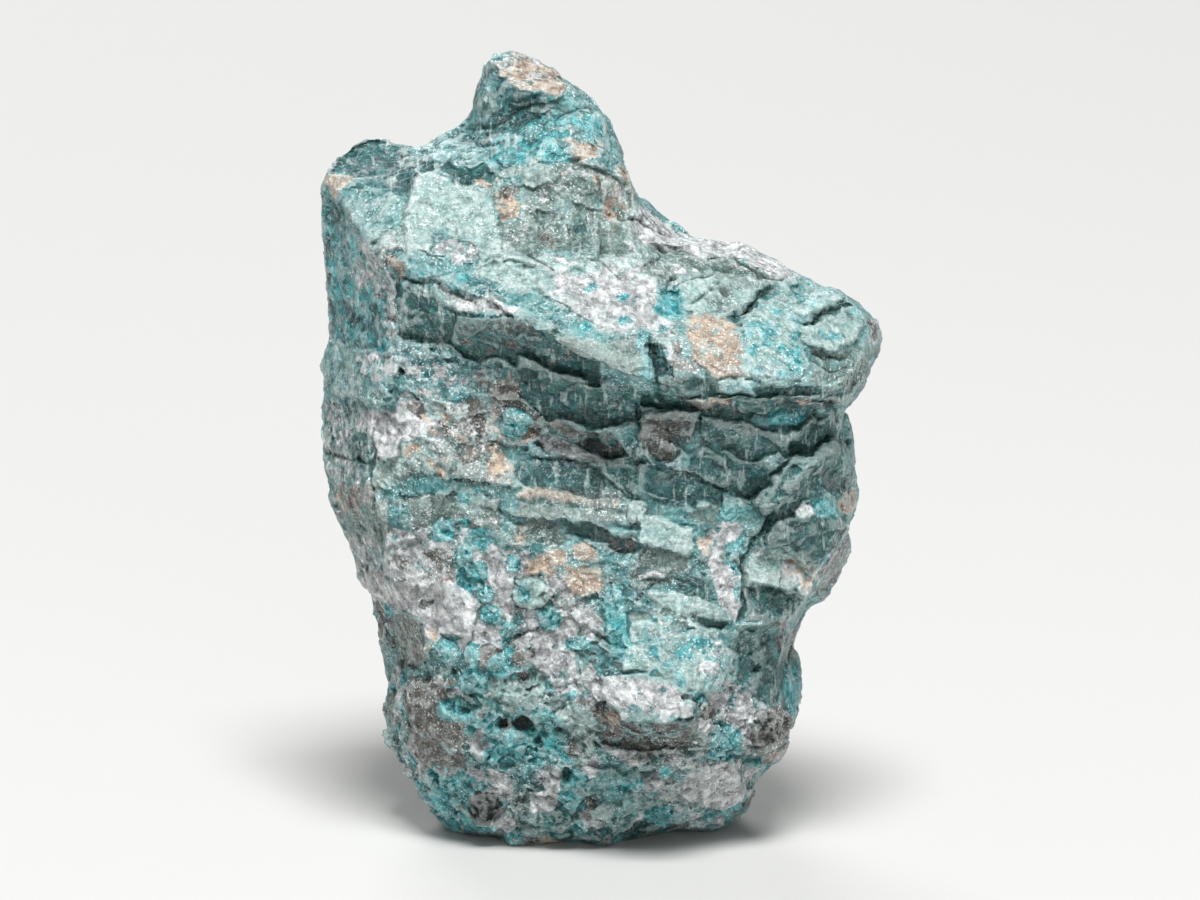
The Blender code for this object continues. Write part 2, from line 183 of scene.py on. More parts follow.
PALE_BLOCK_FACES = [
    ({"pale": 1.35}, 0.4, -0.05, [(-27, 99.2), (-24, 97.8), (-19.5, 96.5), (-15.8, 96.8), (-15, 92.7),
     (-14.3, 85.7), (-18, 83.7), (-21.8, 85.7), (-25.2, 86.3), (-28.2, 87.5), (-28.7, 90.2), (-28.1, 95)]),
    ({"quartz": 0.85}, 0.3, -0.1, [(-24, 89.7), (-18.5, 88), (-18, 83.8), (-22, 85.4), (-25, 86.6)]),
    ({"pale": 1.1, "sage": 0.9, "quartz": 0.52, "peach": 0.45}, 0, 0, [(-15, 98.7), (-7.5, 99.2),
     (-3.8, 100.2), (0, 99.2), (4.5, 96.5), (4.8, 89.7), (6, 85.7), (0, 84.5), (-6, 85.7), (-14.3, 85.7),
     (-15, 92.7)]),
    ({"peach": 0.85, "smoky": 0.75}, 0, 0, [(-15.3, 97.8), (-12, 97.5), (-12, 91.5), (-15, 91.5)]),
    ({"sage": 1.1, "smoky": 0.65}, -0.25, 0, [(-9.2, 93), (-6.6, 93), (-7, 85), (-9, 85.5)]),
    ({"deep": 0.6, "sage": 1.1}, -0.15, 0, [(-4.5, 96), (0, 95), (0, 85.7), (-4.5, 86)]),
    ({"pale": 1.1, "sage": 0.8, "quartz": 0.7, "peach": 0.65}, 0.15, 0, [(0, 98.5), (4.5, 96), (4.8, 91.9),
     (0, 92)]),
    ({"pale": 1.3, "quartz": 0.7}, 0.4, -0.1, [(-15, 85.5), (-8, 84), (6, 84.2), (9, 81.5), (9, 83.5),
     (6, 86), (-6, 85.9), (-14.3, 86)]),
    ({"pale": 1.3, "quartz": 0.6}, 0, 0, [(-9, 85.7), (6, 85.7), (9, 81.5), (13.5, 77), (6, 73.2), (0, 75.5),
     (-8.3, 80), (-10.5, 83.7)]),
    ({"pale": 1.2, "quartz": 0.98}, 0, -0.05, [(-7, 83.2), (3, 83.6), (9, 81.8), (11.5, 78), (11, 74.2),
     (7.4, 73.2), (5, 74.6), (0, 75.8), (-6, 79)]),
    ({"pale": 1.1}, 0.2, 0, [(-15.8, 85.7), (-9, 84.5), (-9, 80), (-15, 81.5), (-18, 83.7)]),
]
LEDGE_FACES = [
    ({"cyan": 1}, 0.4, 0.1, [(-28.5, 82.4), (-27.6, 84.5), (-26.3, 84.8), (-23.3, 83.3), (-25.5, 82.5)]),
    ({"deep": 1}, -0.2, 0.1, [(-27.8, 81.9), (-24, 81.5), (-19.5, 79.7), (-18, 77.7), (-25.5, 77.7),
     (-29.3, 78.8), (-29.3, 81.5)]),
    ({"quartz": 0.85, "pale": 0.9}, 0.3, -0.3, [(-24, 81.5), (-18, 80), (-6, 75.5), (-8.3, 74.7),
     (-15, 76.7), (-21, 78.2)]),
    ({"deep": 1.3, "smoky": 0.6}, -0.6, 0.42, [(-25.5, 77.3), (-18, 77), (-10.5, 76.7), (-8.3, 74.7),
     (-1.5, 72.2), (0, 70.2), (0, 67.2), (-6, 68.7), (-10.5, 70.2), (-15, 71.3), (-19.5, 70.7),
     (-22.5, 73.2)]),
    ({"deep": 1.4}, -0.5, 0.35, [(-29.9, 78.6), (-25.3, 77.9), (-21, 77.5), (-22.3, 73), (-25.5, 73),
     (-29.8, 74.7)]),
    ({"sage": 1, "deep": 1.1}, -0.6, 0.45, [(-12, 71.7), (-6, 69.2), (0, 67.2), (6, 65.7), (6, 62),
     (0, 61.2), (-6, 62), (-7.8, 62), (-12, 66.5)]),
    ({"deep": 1}, -0.4, 0, [(-12, 70.2), (-9, 69), (-8, 63), (-12, 65.5)]),
    ({"sage": 1.1, "pale": 0.8}, 0.3, 0.1, [(-8.3, 75.2), (0, 73.2), (6, 74), (6.8, 68.3), (0, 70.7),
     (-1.5, 72.2)]),
    ({"cyan": 1.2}, 0.6, 0, [(6, 74.5), (7.2, 74.5), (7.2, 68.3), (6.4, 68.3)]),
    ({"deep": 1.3}, -0.7, 0, [(7.5, 73.4), (10.2, 72.5), (9.8, 68.7), (8, 68.3)]),
    ({"smoky": 0.9, "quartz": 0.85}, 0, 0, [(9.8, 73.2), (13.5, 73.2), (15, 68.7), (10.5, 69.5)]),
    ({"deep": 1.3}, -0.6, 0.6, [(9, 68.3), (16.5, 68), (24, 66.8), (36, 67.2), (35.7, 65.6), (24, 65.3),
     (15, 65.3), (9, 66.2)]),
    ({"cyan": 0.95, "pale": 0.9}, 0.5, 0, [(16.8, 68), (22.5, 67.7), (22.8, 65.9), (17.3, 66)]),
    ({"cyan": 1}, 0.3, 0, [(30, 68.8), (36, 68.6), (35.8, 67.5), (30, 67.6)]),
]
WING_FACES = [
    ({"pale": 1.15, "sage": 0.8, "quartz": 0.62}, 0, 0, [(4.5, 92), (12, 90), (20, 88.5), (27, 84.5),
     (31, 81), (27, 79.5), (21, 77), (14, 77), (10, 80.5), (7, 84.5)]),
    ({"quartz": 1.7, "pale": 1.6}, 0.4, -0.25, [(6, 94.2), (10.8, 89.4), (19.5, 89.2), (24, 87.5),
     (30, 83.7), (24, 84.2), (20.3, 86.7), (13.5, 87.8), (9, 87.8), (6, 89.7)]),
    ({"sage": 1.3, "smoky": 0.55}, -0.6, 0.4, [(9.3, 86.6), (20.3, 86), (24, 83.3), (20.3, 83.7),
     (17.3, 84.5), (13.5, 85.7)]),
    ({"pale": 1.15}, 0.35, -0.1, [(11.3, 81.2), (16.5, 83.7), (17.3, 81.5), (14.3, 78.8), (12, 77.3),
     (10.2, 80)]),
    ({"pale": 0.95, "sage": 0.75}, 0.6, -0.15, [(17.3, 81.5), (18.3, 83), (24.8, 82.7), (21, 78.2),
     (18, 76.7), (14.3, 77.7)]),
    ({"deep": 1.3, "smoky": 0.8}, -1.1, 0.3, [(20, 77), (21.8, 78.8), (24, 81.2), (25.2, 82), (25.8, 81.2),
     (23.3, 78.8)]),
    ({"cyan": 0.62, "pale": 0.9}, 0.3, -0.15, [(21.3, 77.3), (25.5, 80.2), (28.5, 79.7), (29.3, 75.5),
     (28.5, 73.7), (24, 74.7), (21.8, 75.5)]),
    ({"cyan": 0.68, "pale": 1}, 0.2, -0.2, [(27, 82.2), (33, 82.2), (37.5, 80), (35.3, 78.5), (30.8, 77.3),
     (29.3, 78.2)]),
    ({"deep": 1.3}, -0.8, 0.35, [(30, 76.2), (31.8, 77.9), (35.3, 78.8), (37.2, 80), (37.5, 79),
     (34.5, 77.3), (31.2, 76.4)]),
    ({"pale": 1.1, "cyan": 0.6}, 0.6, -0.1, [(29.7, 74), (31.2, 76.2), (35.3, 77.7), (38.3, 79.2),
     (39, 76.2), (37.5, 73.2), (34.2, 72), (31.5, 72.7)]),
    ({"sage": 0.85}, -0.1, 0.1, [(29.7, 73.2), (34.5, 71.5), (38.3, 73.2), (39.8, 75.5), (40.5, 73.2),
     (37.5, 69.5), (34.5, 67.2), (30, 68)]),
    ({"smoky": 0.85, "quartz": 0.85}, 0.2, 0, [(39.3, 77.3), (42, 77.3), (42.5, 74.7), (40.5, 72.5),
     (39.3, 73.2), (40.2, 75.5)]),
    ({"sage": 1.1}, -0.2, 0.2, [(40.5, 72.5), (42.3, 74), (37.5, 66.5), (36, 65), (36.3, 67.2)]),
    ({"pale": 1.2, "peach": 0.88}, 0.2, 0, [(12, 76.6), (14.5, 78), (21.2, 76), (21.6, 68.3), (16.5, 68.3),
     (13, 71.5)]),
    ({"cyan": 1.2}, 0.1, 0, [(9.3, 81), (11.5, 81.2), (12.2, 79), (11.3, 76.8), (9.5, 77), (8.8, 79)]),
    ({"cyan": 0.75, "pale": 1}, 0.1, 0, [(21.3, 75.5), (29.3, 75.5), (30, 67.8), (21.8, 68.3)]),
]
# Faces under the ledge: dark green of their own, with deep, smoky and mica laid on thicker as painted shade
THROAT_FACES = [
    ({"smoky": 0.8, "deep": 0.8}, 0.1, 0.1, [(-19.2, 69.7), (-12.8, 70.2), (-12, 67.2), (-15, 65),
     (-18.8, 66.7)]),
    ({"smoky": 1.3}, -0.3, 0.1, [(-15, 67.2), (-12, 67.2), (-11.7, 64.2), (-8.3, 62.2), (-10.5, 62),
     (-14.3, 63.5)]),
    ({"pale": 0.9, "quartz": 0.78, "smoky": 0.66, "peach": 0.55}, 0.2, -0.05, [(-30, 65.7), (-24, 65),
     (-15, 65), (-14.3, 60.5), (-9, 60.5), (-8.3, 59), (-12, 58.2), (-18, 59.7), (-22.5, 58.2), (-30, 59)]),
    ({"deep": 1, "smoky": 0.85}, -0.7, 0.3, [(-7.5, 62), (-3, 60.7), (1.5, 60.5), (3, 59), (4.8, 55.2),
     (0, 56.2), (-3, 58.2), (-6.8, 59.7)]),
    ({"quartz": 1.1, "smoky": 0.55}, 0.5, -0.15, [(-9, 59), (-6, 59.2), (-3, 57.7), (0, 56.2), (3.8, 53.2),
     (0, 53.7), (-3.8, 55.7), (-7.5, 57.2)]),
    # Painted shade: this pale brownish block under the ledge takes deep, smoky and mica for its shadow
    ({"deep": 1.3, "smoky": 0.85, "mica": 0.8}, 0.3, 0.6, [(6, 62.7), (15, 63.5), (14.3, 60.5), (12, 57.5),
     (9.3, 56.2), (6, 57.7)]),
    ({"deep": 1.3}, -0.6, 0.2, [(6, 65.7), (15, 65.7), (15, 63.8), (9, 63.8), (6, 64.2)]),
    ({"deep": 1, "smoky": 0.85, "peach": 0.7}, 0.1, 0, [(12, 65.2), (22.5, 65.7), (35.3, 64.7), (34.5, 63.5),
     (24, 64.2), (15, 63.5)]),
    ({"deep": 1.3}, -0.1, 0, [(20.3, 65), (24.8, 65), (25.5, 63.2), (22.5, 62), (20.3, 63.2)]),
    ({"deep": 1.4}, 0, 0.3, [(25.2, 63.2), (30, 63.5), (32.3, 62), (30, 60.5), (25.8, 61.2)]),
    ({"sage": 0.9, "deep": 1.2}, 0.1, 0.5, [(15, 62.7), (20.3, 62), (24.8, 60.5), (28.5, 59.7), (26.3, 57.5),
     (23.3, 56), (19.5, 56.7), (15, 59)]),
    ({"deep": 1.7}, -0.5, 0.6, [(28.5, 60.5), (34.5, 62.7), (35.7, 61.2), (33.8, 59), (30.8, 56.7),
     (27, 56.2), (26.3, 57.5)]),
    ({"deep": 1.5}, -0.3, 0.25, [(6, 56), (9, 55.7), (14.3, 53.2), (18, 51.5), (18.3, 48.8), (13.5, 49.2),
     (9, 50.7), (6, 51.7)]),
    ({"sage": 0.7, "deep": 1.1}, 0.2, 0.25, [(15, 58.2), (18, 56.7), (23.3, 56), (24.8, 53.7), (22.5, 50),
     (18.8, 51.5), (15, 53.2), (12.8, 55.2)]),
    ({"sage": 0.8, "deep": 1}, 0, 0.2, [(1.5, 56), (5.7, 57.5), (5.7, 51.5), (1.5, 51.5)]),
]
BAND_FACES = [
    ({"deep": 1.6}, -0.4, 0.35, [(-12.3, 55.6), (-9, 56.2), (-6, 55.7), (-3, 55.2), (0, 54.2), (0.3, 52.2),
     (-0.3, 49.7), (-3, 50.4), (-5.3, 51.3), (-9, 51.7), (-12, 52.5), (-12.8, 53.7)]),
    ({"deep": 1.1, "sage": 0.8}, -0.2, 0.2, [(0.3, 54.2), (4.5, 53.2), (4.8, 50), (0, 49.7)]),
    ({"peach": 0.8, "sage": 1.4, "smoky": 0.85}, 0.3, 0.25, [(-11.3, 51.9), (-8.3, 51.9), (-4.5, 51),
     (0, 50.2), (3.8, 49.5), (3, 48.2), (-1.5, 48.8), (-6, 49.5), (-10.5, 50), (-12, 51)]),
    ({"pale": 0.7, "sage": 0.95}, 0.4, 0.05, [(-12, 50), (-6, 49.5), (0, 48.5), (3.8, 47.7), (4.5, 46.2),
     (0, 46.7), (-6, 47.3), (-8.3, 47), (-12, 48.2)]),
    ({"deep": 1.4}, -0.6, 0.3, [(-7.8, 46.5), (-6, 46.8), (-3, 46.7), (1.2, 45.8), (1.8, 44), (0, 43.8),
     (-3, 44.4), (-6, 45.3), (-7.8, 45.5)]),
    ({"deep": 1.2, "smoky": 0.75}, -0.7, 0.1, [(1.2, 44.7), (6, 45.2), (6.3, 43.2), (4.8, 42.2), (3, 42),
     (1.5, 43.2)]),
    ({"pale": 0.9}, 0.7, 0, [(3.8, 49.5), (6, 50), (6.8, 48.2), (5.7, 47), (4, 47.5)]),
    ({"pale": 1}, 0.4, -0.05, [(6, 47.7), (9, 47.2), (13.5, 45.5), (13.8, 42.7), (12, 41), (8.3, 43),
     (6, 43.2)]),
    ({"sage": 1.4}, -0.2, 0.1, [(5.4, 41), (7.2, 43.2), (9.8, 43), (13.2, 41), (12, 38.3), (8.3, 38),
     (4.8, 38.7)]),
    ({"quartz": 1.3}, 0.4, 0, [(6, 39.4), (9.3, 39.2), (9, 38.5), (6, 38.7)]),
    ({"sage": 1.1}, 0.1, 0, [(4.8, 37.7), (9, 38), (6, 35)]),
    ({"deep": 1.35}, -0.3, 0.1, [(10.8, 38.7), (13.5, 38.7), (17.4, 37.7), (18, 35.2), (15, 35.2),
     (12, 36.5)]),
    ({"pale": 1.1}, 0.2, 0, [(6, 36.2), (12, 36.2), (18.8, 34.2), (20.7, 32.2), (15, 32.2), (9, 34.2)]),
    ({"deep": 1.4}, -0.7, 0.3, [(11.7, 33.2), (13.5, 33.2), (16.8, 32), (19.2, 32), (18.3, 30.8), (15, 30.9),
     (13.2, 31.7)]),
    ({"pale": 1.15, "cyan": 0.65}, 0.2, -0.1, [(4.5, 33.5), (12, 32.7), (15, 30.2), (13.5, 27.5),
     (7.5, 26.7), (3, 29)]),
    ({"peach": 0.9, "quartz": 0.6}, 0.2, 0, [(-8.3, 43.2), (-4.5, 44), (-0.3, 42.8), (0.3, 40.7), (-3, 40.2),
     (-6, 39.5), (-8.3, 38.3), (-9.8, 39.2), (-11.3, 38.3), (-10.5, 41)]),
    ({"pale": 0.85, "peach": 0.85}, 0, 0, [(-4.5, 40.2), (0, 40.7), (0, 36.5), (-3, 35), (-5.3, 37.2)]),
    ({"pale": 0.9, "sage": 0.9, "peach": 0.6}, 0.1, 0, [(-12.8, 46.2), (-8.3, 47), (-7.8, 45.5), (-9, 44),
     (-12, 43.2), (-14.3, 44)]),
    ({"sage": 1}, -0.1, 0, [(-6.8, 46.2), (-3.8, 44.7), (-6, 43.2), (-9, 43.2)]),
    ({"sage": 0.9, "peach": 0.65, "smoky": 0.7}, 0.3, 0, [(-21, 59), (-15, 59), (-12.8, 54.5), (-12.8, 52),
     (-18, 53), (-21, 53.7)]),
    ({"pale": 1.15, "sage": 0.8, "peach": 0.58}, 0.1, 0, [(-30, 59.7), (-21.8, 58.2), (-21.8, 53.7),
     (-27, 54.5), (-33, 51.5), (-33.8, 55.2), (-33.3, 58.2)]),
    ({"pale": 0.9, "sage": 1.2, "quartz": 0.5}, 0.1, 0.1, [(-30.8, 50), (-22.5, 50.7), (-18, 51.5),
     (-15, 50), (-15, 45.5), (-19.5, 47), (-24, 47), (-29.3, 44.7), (-31.5, 47)]),
    ({"cyan": 0.7}, 0.2, 0, [(-31.5, 49.2), (-28.5, 49.2), (-28.2, 45.5), (-30, 46.7), (-31.5, 47)]),
    ({"cyan": 0.75, "pale": 0.9}, 0.2, 0, [(-21.3, 51.5), (-17.7, 51.5), (-17.7, 48.5), (-20.7, 48.8)]),
]
RIGHT_FACES = [
    ({"deep": 1.6}, 0.7, 0.05, [(22.8, 50), (23.6, 51.8), (25.5, 53.7), (28.5, 56), (31.2, 56.7), (33.8, 59),
     (36, 59.2), (36.8, 57.8), (33.8, 55.2), (30.8, 52.2), (28.5, 50), (25.5, 48.2), (24, 47.7)]),
    ({"deep": 1}, 0.3, 0, [(33, 55.2), (36.8, 56.7), (37.8, 53), (36.8, 50.7), (33.8, 51.5), (32.3, 53.2)]),
    ({"deep": 1.2}, -0.4, 0.1, [(26.3, 48.2), (30.8, 51.8), (33.8, 51.5), (30, 50), (28.5, 47.7),
     (25.5, 47)]),
    ({"quartz": 1, "pale": 1.3}, 0.3, -0.2, [(28.5, 48.5), (31.8, 49.7), (31.8, 47.7), (29.3, 47)]),
    ({"cyan": 1.4}, 0.5, 0, [(31.8, 49.7), (35.4, 49.7), (35.4, 47.6), (32, 47.6)]),
    ({"pale": 1.1, "peach": 0.8}, 0.2, 0, [(35.4, 50.3), (38.3, 51.8), (38.4, 48.2), (36, 47.3)]),
    ({"deep": 1.4}, 0.2, 0.05, [(26.3, 47), (37.2, 47.3), (36, 45.5), (34.5, 43.2), (32.7, 39.8), (30, 41),
     (27, 42.5), (24, 43.2), (25.5, 45.8)]),
    ({"pale": 1.5}, 0.6, -0.3, [(21.8, 41), (24, 42.8), (26.7, 41.7), (26.7, 37.2), (21.8, 38),
     (21.3, 39.5)]),
    ({"pale": 1.5, "quartz": 0.75, "peach": 0.7}, 0.6, -0.3, [(26.7, 41.7), (30, 41), (32.7, 39.8),
     (30.8, 35.7), (28.5, 36.8), (26.7, 37.2)]),
    ({"deep": 1.4}, -0.5, 0.12, [(21.5, 37.5), (26.7, 37), (30.5, 35.4), (30, 33.8), (26.3, 32),
     (21.8, 31.2)]),
    ({"cyan": 1.1}, 0.2, 0, [(21.5, 31.7), (24, 32), (22.5, 30.5)]),
    ({"smoky": 1, "quartz": 0.85}, 0, 0, [(37.5, 46.2), (38.3, 44), (37.2, 41), (36, 38.7), (33.8, 36.5),
     (30.8, 34.2), (30, 35), (32.3, 38), (33, 39.5), (34.8, 43.2), (36, 45.5)]),
    ({"quartz": 1.2}, 0.1, 0, [(18.3, 47), (20.7, 46.2), (20.3, 43.2), (18, 41), (20.7, 38.7), (20.7, 31.2),
     (18, 35), (15.8, 41), (16.2, 44)]),
    ({"peach": 1.3}, 0.2, 0, [(14.6, 44.4), (16.5, 44), (15.8, 42.5), (14.3, 42.8)]),
    ({"cyan": 0.9}, 0.2, 0, [(19.2, 43.2), (21, 44), (20.3, 41.3), (18.8, 41.3)]),
    ({"sage": 0.8}, 0, 0, [(14.3, 50), (18, 49.2), (17.3, 45.5), (15, 46.2), (12.8, 47.7)]),
    ({"deep": 0.95}, -0.4, 0, [(21.3, 31.2), (30, 33.2), (29.7, 26), (28.5, 17), (24, 20), (20.3, 23)]),
]
LEFT_FACES = [
    ({"deep": 0.95, "cyan": 0.75}, 0, 0, [(-41.7, 94.2), (-38.3, 92.7), (-34.5, 86), (-30.8, 81.5),
     (-30.3, 72.5), (-37.5, 72.5), (-41.3, 75.5), (-40.8, 83), (-42.3, 89)]),
    ({"pale": 0.7, "quartz": 0.85, "smoky": 0.5, "cyan": 0.55}, 0.1, 0, [(-38.3, 92.7), (-34.2, 87.5),
     (-30, 82.2), (-30.3, 74), (-31.2, 74), (-32.3, 80), (-36, 82.2), (-37.5, 85.7)]),
    ({"pale": 0.75}, 0.1, 0, [(-41.7, 74), (-36.8, 72.5), (-33, 68), (-30.8, 65), (-36, 65), (-41.3, 66.5)]),
    ({"quartz": 0.9, "cyan": 0.5}, 0.1, 0, [(-36.8, 72.2), (-30, 71.7), (-28.5, 68), (-31.5, 68.7),
     (-33.8, 67.2)]),
    ({"quartz": 0.7}, 0, 0, [(-30, 71), (-19.5, 70.2), (-18.8, 65.7), (-24, 65), (-30, 67.2)]),
    ({"pale": 0.85, "deep": 0.7, "quartz": 0.72}, 0, 0, [(-42, 65), (-34.5, 63.5), (-34.2, 59), (-34.5, 53),
     (-39, 51.5), (-41.3, 54.5)]),
    ({"deep": 1.3}, 0, 0, [(-36.8, 59), (-34.2, 59), (-34.2, 55.2), (-36.3, 55.7)]),
    ({"pale": 1.3, "quartz": 1.1}, 0.4, -0.3, [(-34.8, 63.2), (-30.3, 62.3), (-29.3, 59), (-30, 56.3),
     (-33.3, 56.3), (-34.2, 59)]),
    ({"quartz": 1.2}, 0.3, 0, [(-30, 62), (-26.3, 61.2), (-25.8, 59.3), (-29.3, 59)]),
    ({"sage": 0.9, "smoky": 0.75, "peach": 0.6, "quartz": 0.6}, 0, 0, [(-39.8, 52.2), (-33.8, 53),
     (-33, 48.5), (-37.5, 47), (-39.8, 49.2)]),
    ({"sage": 1}, -0.1, 0, [(-38.3, 47), (-31.5, 50), (-31.2, 41.7), (-35.3, 39.5), (-37.5, 43.2)]),
]
LOW_FACES = [
    ({"pale": 0.8, "quartz": 0.9, "smoky": 0.6}, 0, 0, [(-32.3, 43.2), (-24, 45.5), (-19.5, 43.2),
     (-21.8, 38.7), (-27.8, 36.5), (-32.3, 38.7)]),
    ({"quartz": 1.15}, 0.1, -0.1, [(-36, 39.5), (-27.8, 36.5), (-22.5, 38), (-18, 35), (-19.5, 29),
     (-25.5, 31.2), (-30, 34.2), (-35.3, 35)]),
    ({"sage": 1.1, "smoky": 0.7}, -0.8, 0, [(-30.8, 33.2), (-26.3, 32), (-25.8, 25.2), (-30, 24.8),
     (-31.8, 29)]),
    ({"quartz": 0.95}, 0.6, 0.05, [(0, 24.2), (9, 24.2), (13.5, 21.5), (13.8, 18.2), (9, 16.7), (3.8, 17.3),
     (0, 21.5)]),
    ({"pale": 1.1, "cyan": 0.62, "peach": 0.45}, 0.2, 0, [(4.5, 32), (13.5, 32), (18, 29), (20.3, 27.5),
     (18, 21.5), (13.5, 21.5), (9, 24.5), (3, 24.8)]),
    ({"smoky": 0.9}, -0.8, 0.2, [(0.8, 17), (13.5, 17), (15, 13.2), (6, 12.5), (0.8, 14)]),
    ({"smoky": 1.5}, 0.2, 0, [(-28.7, 23), (-25.2, 23), (-25, 17.7), (-28, 17.7), (-29, 20)]),
    ({"smoky": 1}, 0, 0, [(-28.5, 18.2), (-24, 20), (-20.3, 17), (-20.3, 9), (-24, 8), (-28, 12)]),
    ({"quartz": 1.2, "smoky": 0.5}, 0.2, 0, [(15, 10.2), (21, 10.5), (22.5, 6), (19, 3.2), (15.5, 4)]),
    ({"deep": 1.3}, -0.5, 0.2, [(-24, 1.5), (-17.3, 1), (-17.5, -1), (-24, -1)]),
]
FACES = (SHOULDER_FACES + HORN_FACES + PALE_BLOCK_FACES + LEDGE_FACES + WING_FACES + THROAT_FACES
         + BAND_FACES + RIGHT_FACES + LEFT_FACES + LOW_FACES)

# Looser patches of each mineral on the front: across, up, half width, half height, turn, strength
PALE = [(-27, 70, 6, 4, -20, 0.5), (13, 76, 6, 4, 0, 0.6), (-20, 4, 5, 4, -25, 0.7)]
DEEP = [
    (-7, 98, 3, 2, 0, 0.6), (-30, 48, 1.3, 2.5, 0, 0.8), (-35, 41.7, 0.9, 1.5, 0, 1),
    (10, 4, 12, 6, 0, 0.5), (-10, 5, 10, 6, 0, 0.5),
]
CYAN = [
    (-2.6, 112.3, 1.9, 1.6, -35, 0.9), (9.6, 93, 5, 0.7, -39, 1.1), (-21, 82.5, 3, 1.7, -20, 0.8),
    (-1.5, 81.5, 1.2, 0.9, 0, 1), (3.4, 80, 1.1, 1, 0, 1), (3.8, 76.2, 1.4, 1.2, 0, 1),
    (-2.2, 75.5, 1.3, 0.9, 0, 1), (10.4, 79, 1.5, 2.1, 10, 1.2), (10.8, 75.5, 2.6, 1.4, 0, 0.7),
    (25.5, 77.3, 1.5, 1.1, 0, 0.8), (-11, 14, 9, 6, 0, 0.85), (8, 8, 8, 4, 0, 0.6), (-38, 88, 3, 5, 0, 0.8),
    (-21, 4.5, 7, 5, -15, 1),
]
QUARTZ = [
    (-20, 31.5, 9, 4, -25, 1.2), (-7, 31, 6, 5, 0, 1), (-26, 36, 6, 4, 0, 1.1), (-14, 37, 4, 6, 0, 1.05),
    (-27, 44, 5, 3, 0, 0.85), (-36, 41, 4, 4, 0, 0.9), (-4, 24, 6, 3, -20, 0.9), (14, 8, 7, 6, 0, 0.85),
    (-16, 41, 1.8, 3, 0, 1.1), (-2.7, 32, 3.2, 3, 0, 1), (-8.3, 27.5, 2.2, 1.5, 0, 0.9),
    (-16.8, 7, 0.9, 0.6, 0, 1.2), (-14.6, 114.5, 1, 1.2, 0, 1), (-33.3, 27.5, 1, 10, -5, 0.9),
    (16.9, 26, 3.2, 2.9, 0, 0.8), (-12, 38, 6, 6, 0, 0.7), (-20, 59, 7, 5, 0, 0.65), (8, 14, 10, 5, 0, 0.5),
]
SMOKY = [
    (-9.7, 60, 1.3, 0.9, 0, 1.1), (-24.8, 42, 2.2, 1.1, 0, 0.9), (-12, 26.7, 2.9, 2, 0, 0.8),
    (-23.3, 20.7, 2.2, 1.5, 0, 1), (-1.9, 4.3, 1.4, 1.6, 0, 1.1), (-4.1, 12.6, 1.9, 1.3, 0, 1.1),
    (2.5, 15, 2, 1.7, 0, 1), (6.8, 12, 2.2, 1.1, 0, 0.9), (16, 18.6, 1.7, 1.3, 0, 1),
    (28, 29, 1.7, 3, 0, 1.4), (0.9, -1.6, 0.9, 0.8, 0, 1),
]
PEACH = [
    (-17.4, 97, 1.5, 0.5, -20, 1.2), (-23.3, 53.8, 0.9, 0.8, 0, 1.1), (-19.9, 38.7, 1.1, 0.8, 0, 0.9),
    (-25.4, 29.7, 1.3, 2.2, 0, 0.8), (-23, 23.3, 2, 1.9, 0, 0.7), (-0.4, 97.2, 0.25, 2.2, 0, 1),
]
MICA = [
    (-17.3, 4.2, 2, 2, 0, 1.1), (-26.3, 34.5, 1.1, 0.8, 0, 0.8), (-12.8, 61, 1.4, 0.8, -30, 0.7),
    (-9, 58.2, 1, 0.7, 0, 0.8), (22, 64.8, 1.6, 0.6, 0, 0.8), (-14.3, 16.6, 1, 0.8, 0, 1),
    (-11.3, 16.4, 1.6, 0.7, 0, 1), (-1.9, 4.3, 1.5, 1.7, 30, 0.8), (34.5, 64, 1.4, 0.7, 0, 1),
    (-15.5, 58.5, 0.9, 0.7, 0, 0.8), (-33.8, 37, 0.7, 1.4, 0, 0.8),
]
SAGE = [(4.5, 63.9, 10, 3.2, 0, 0.7), (-34, 46, 3, 5, 0, 0.6)]

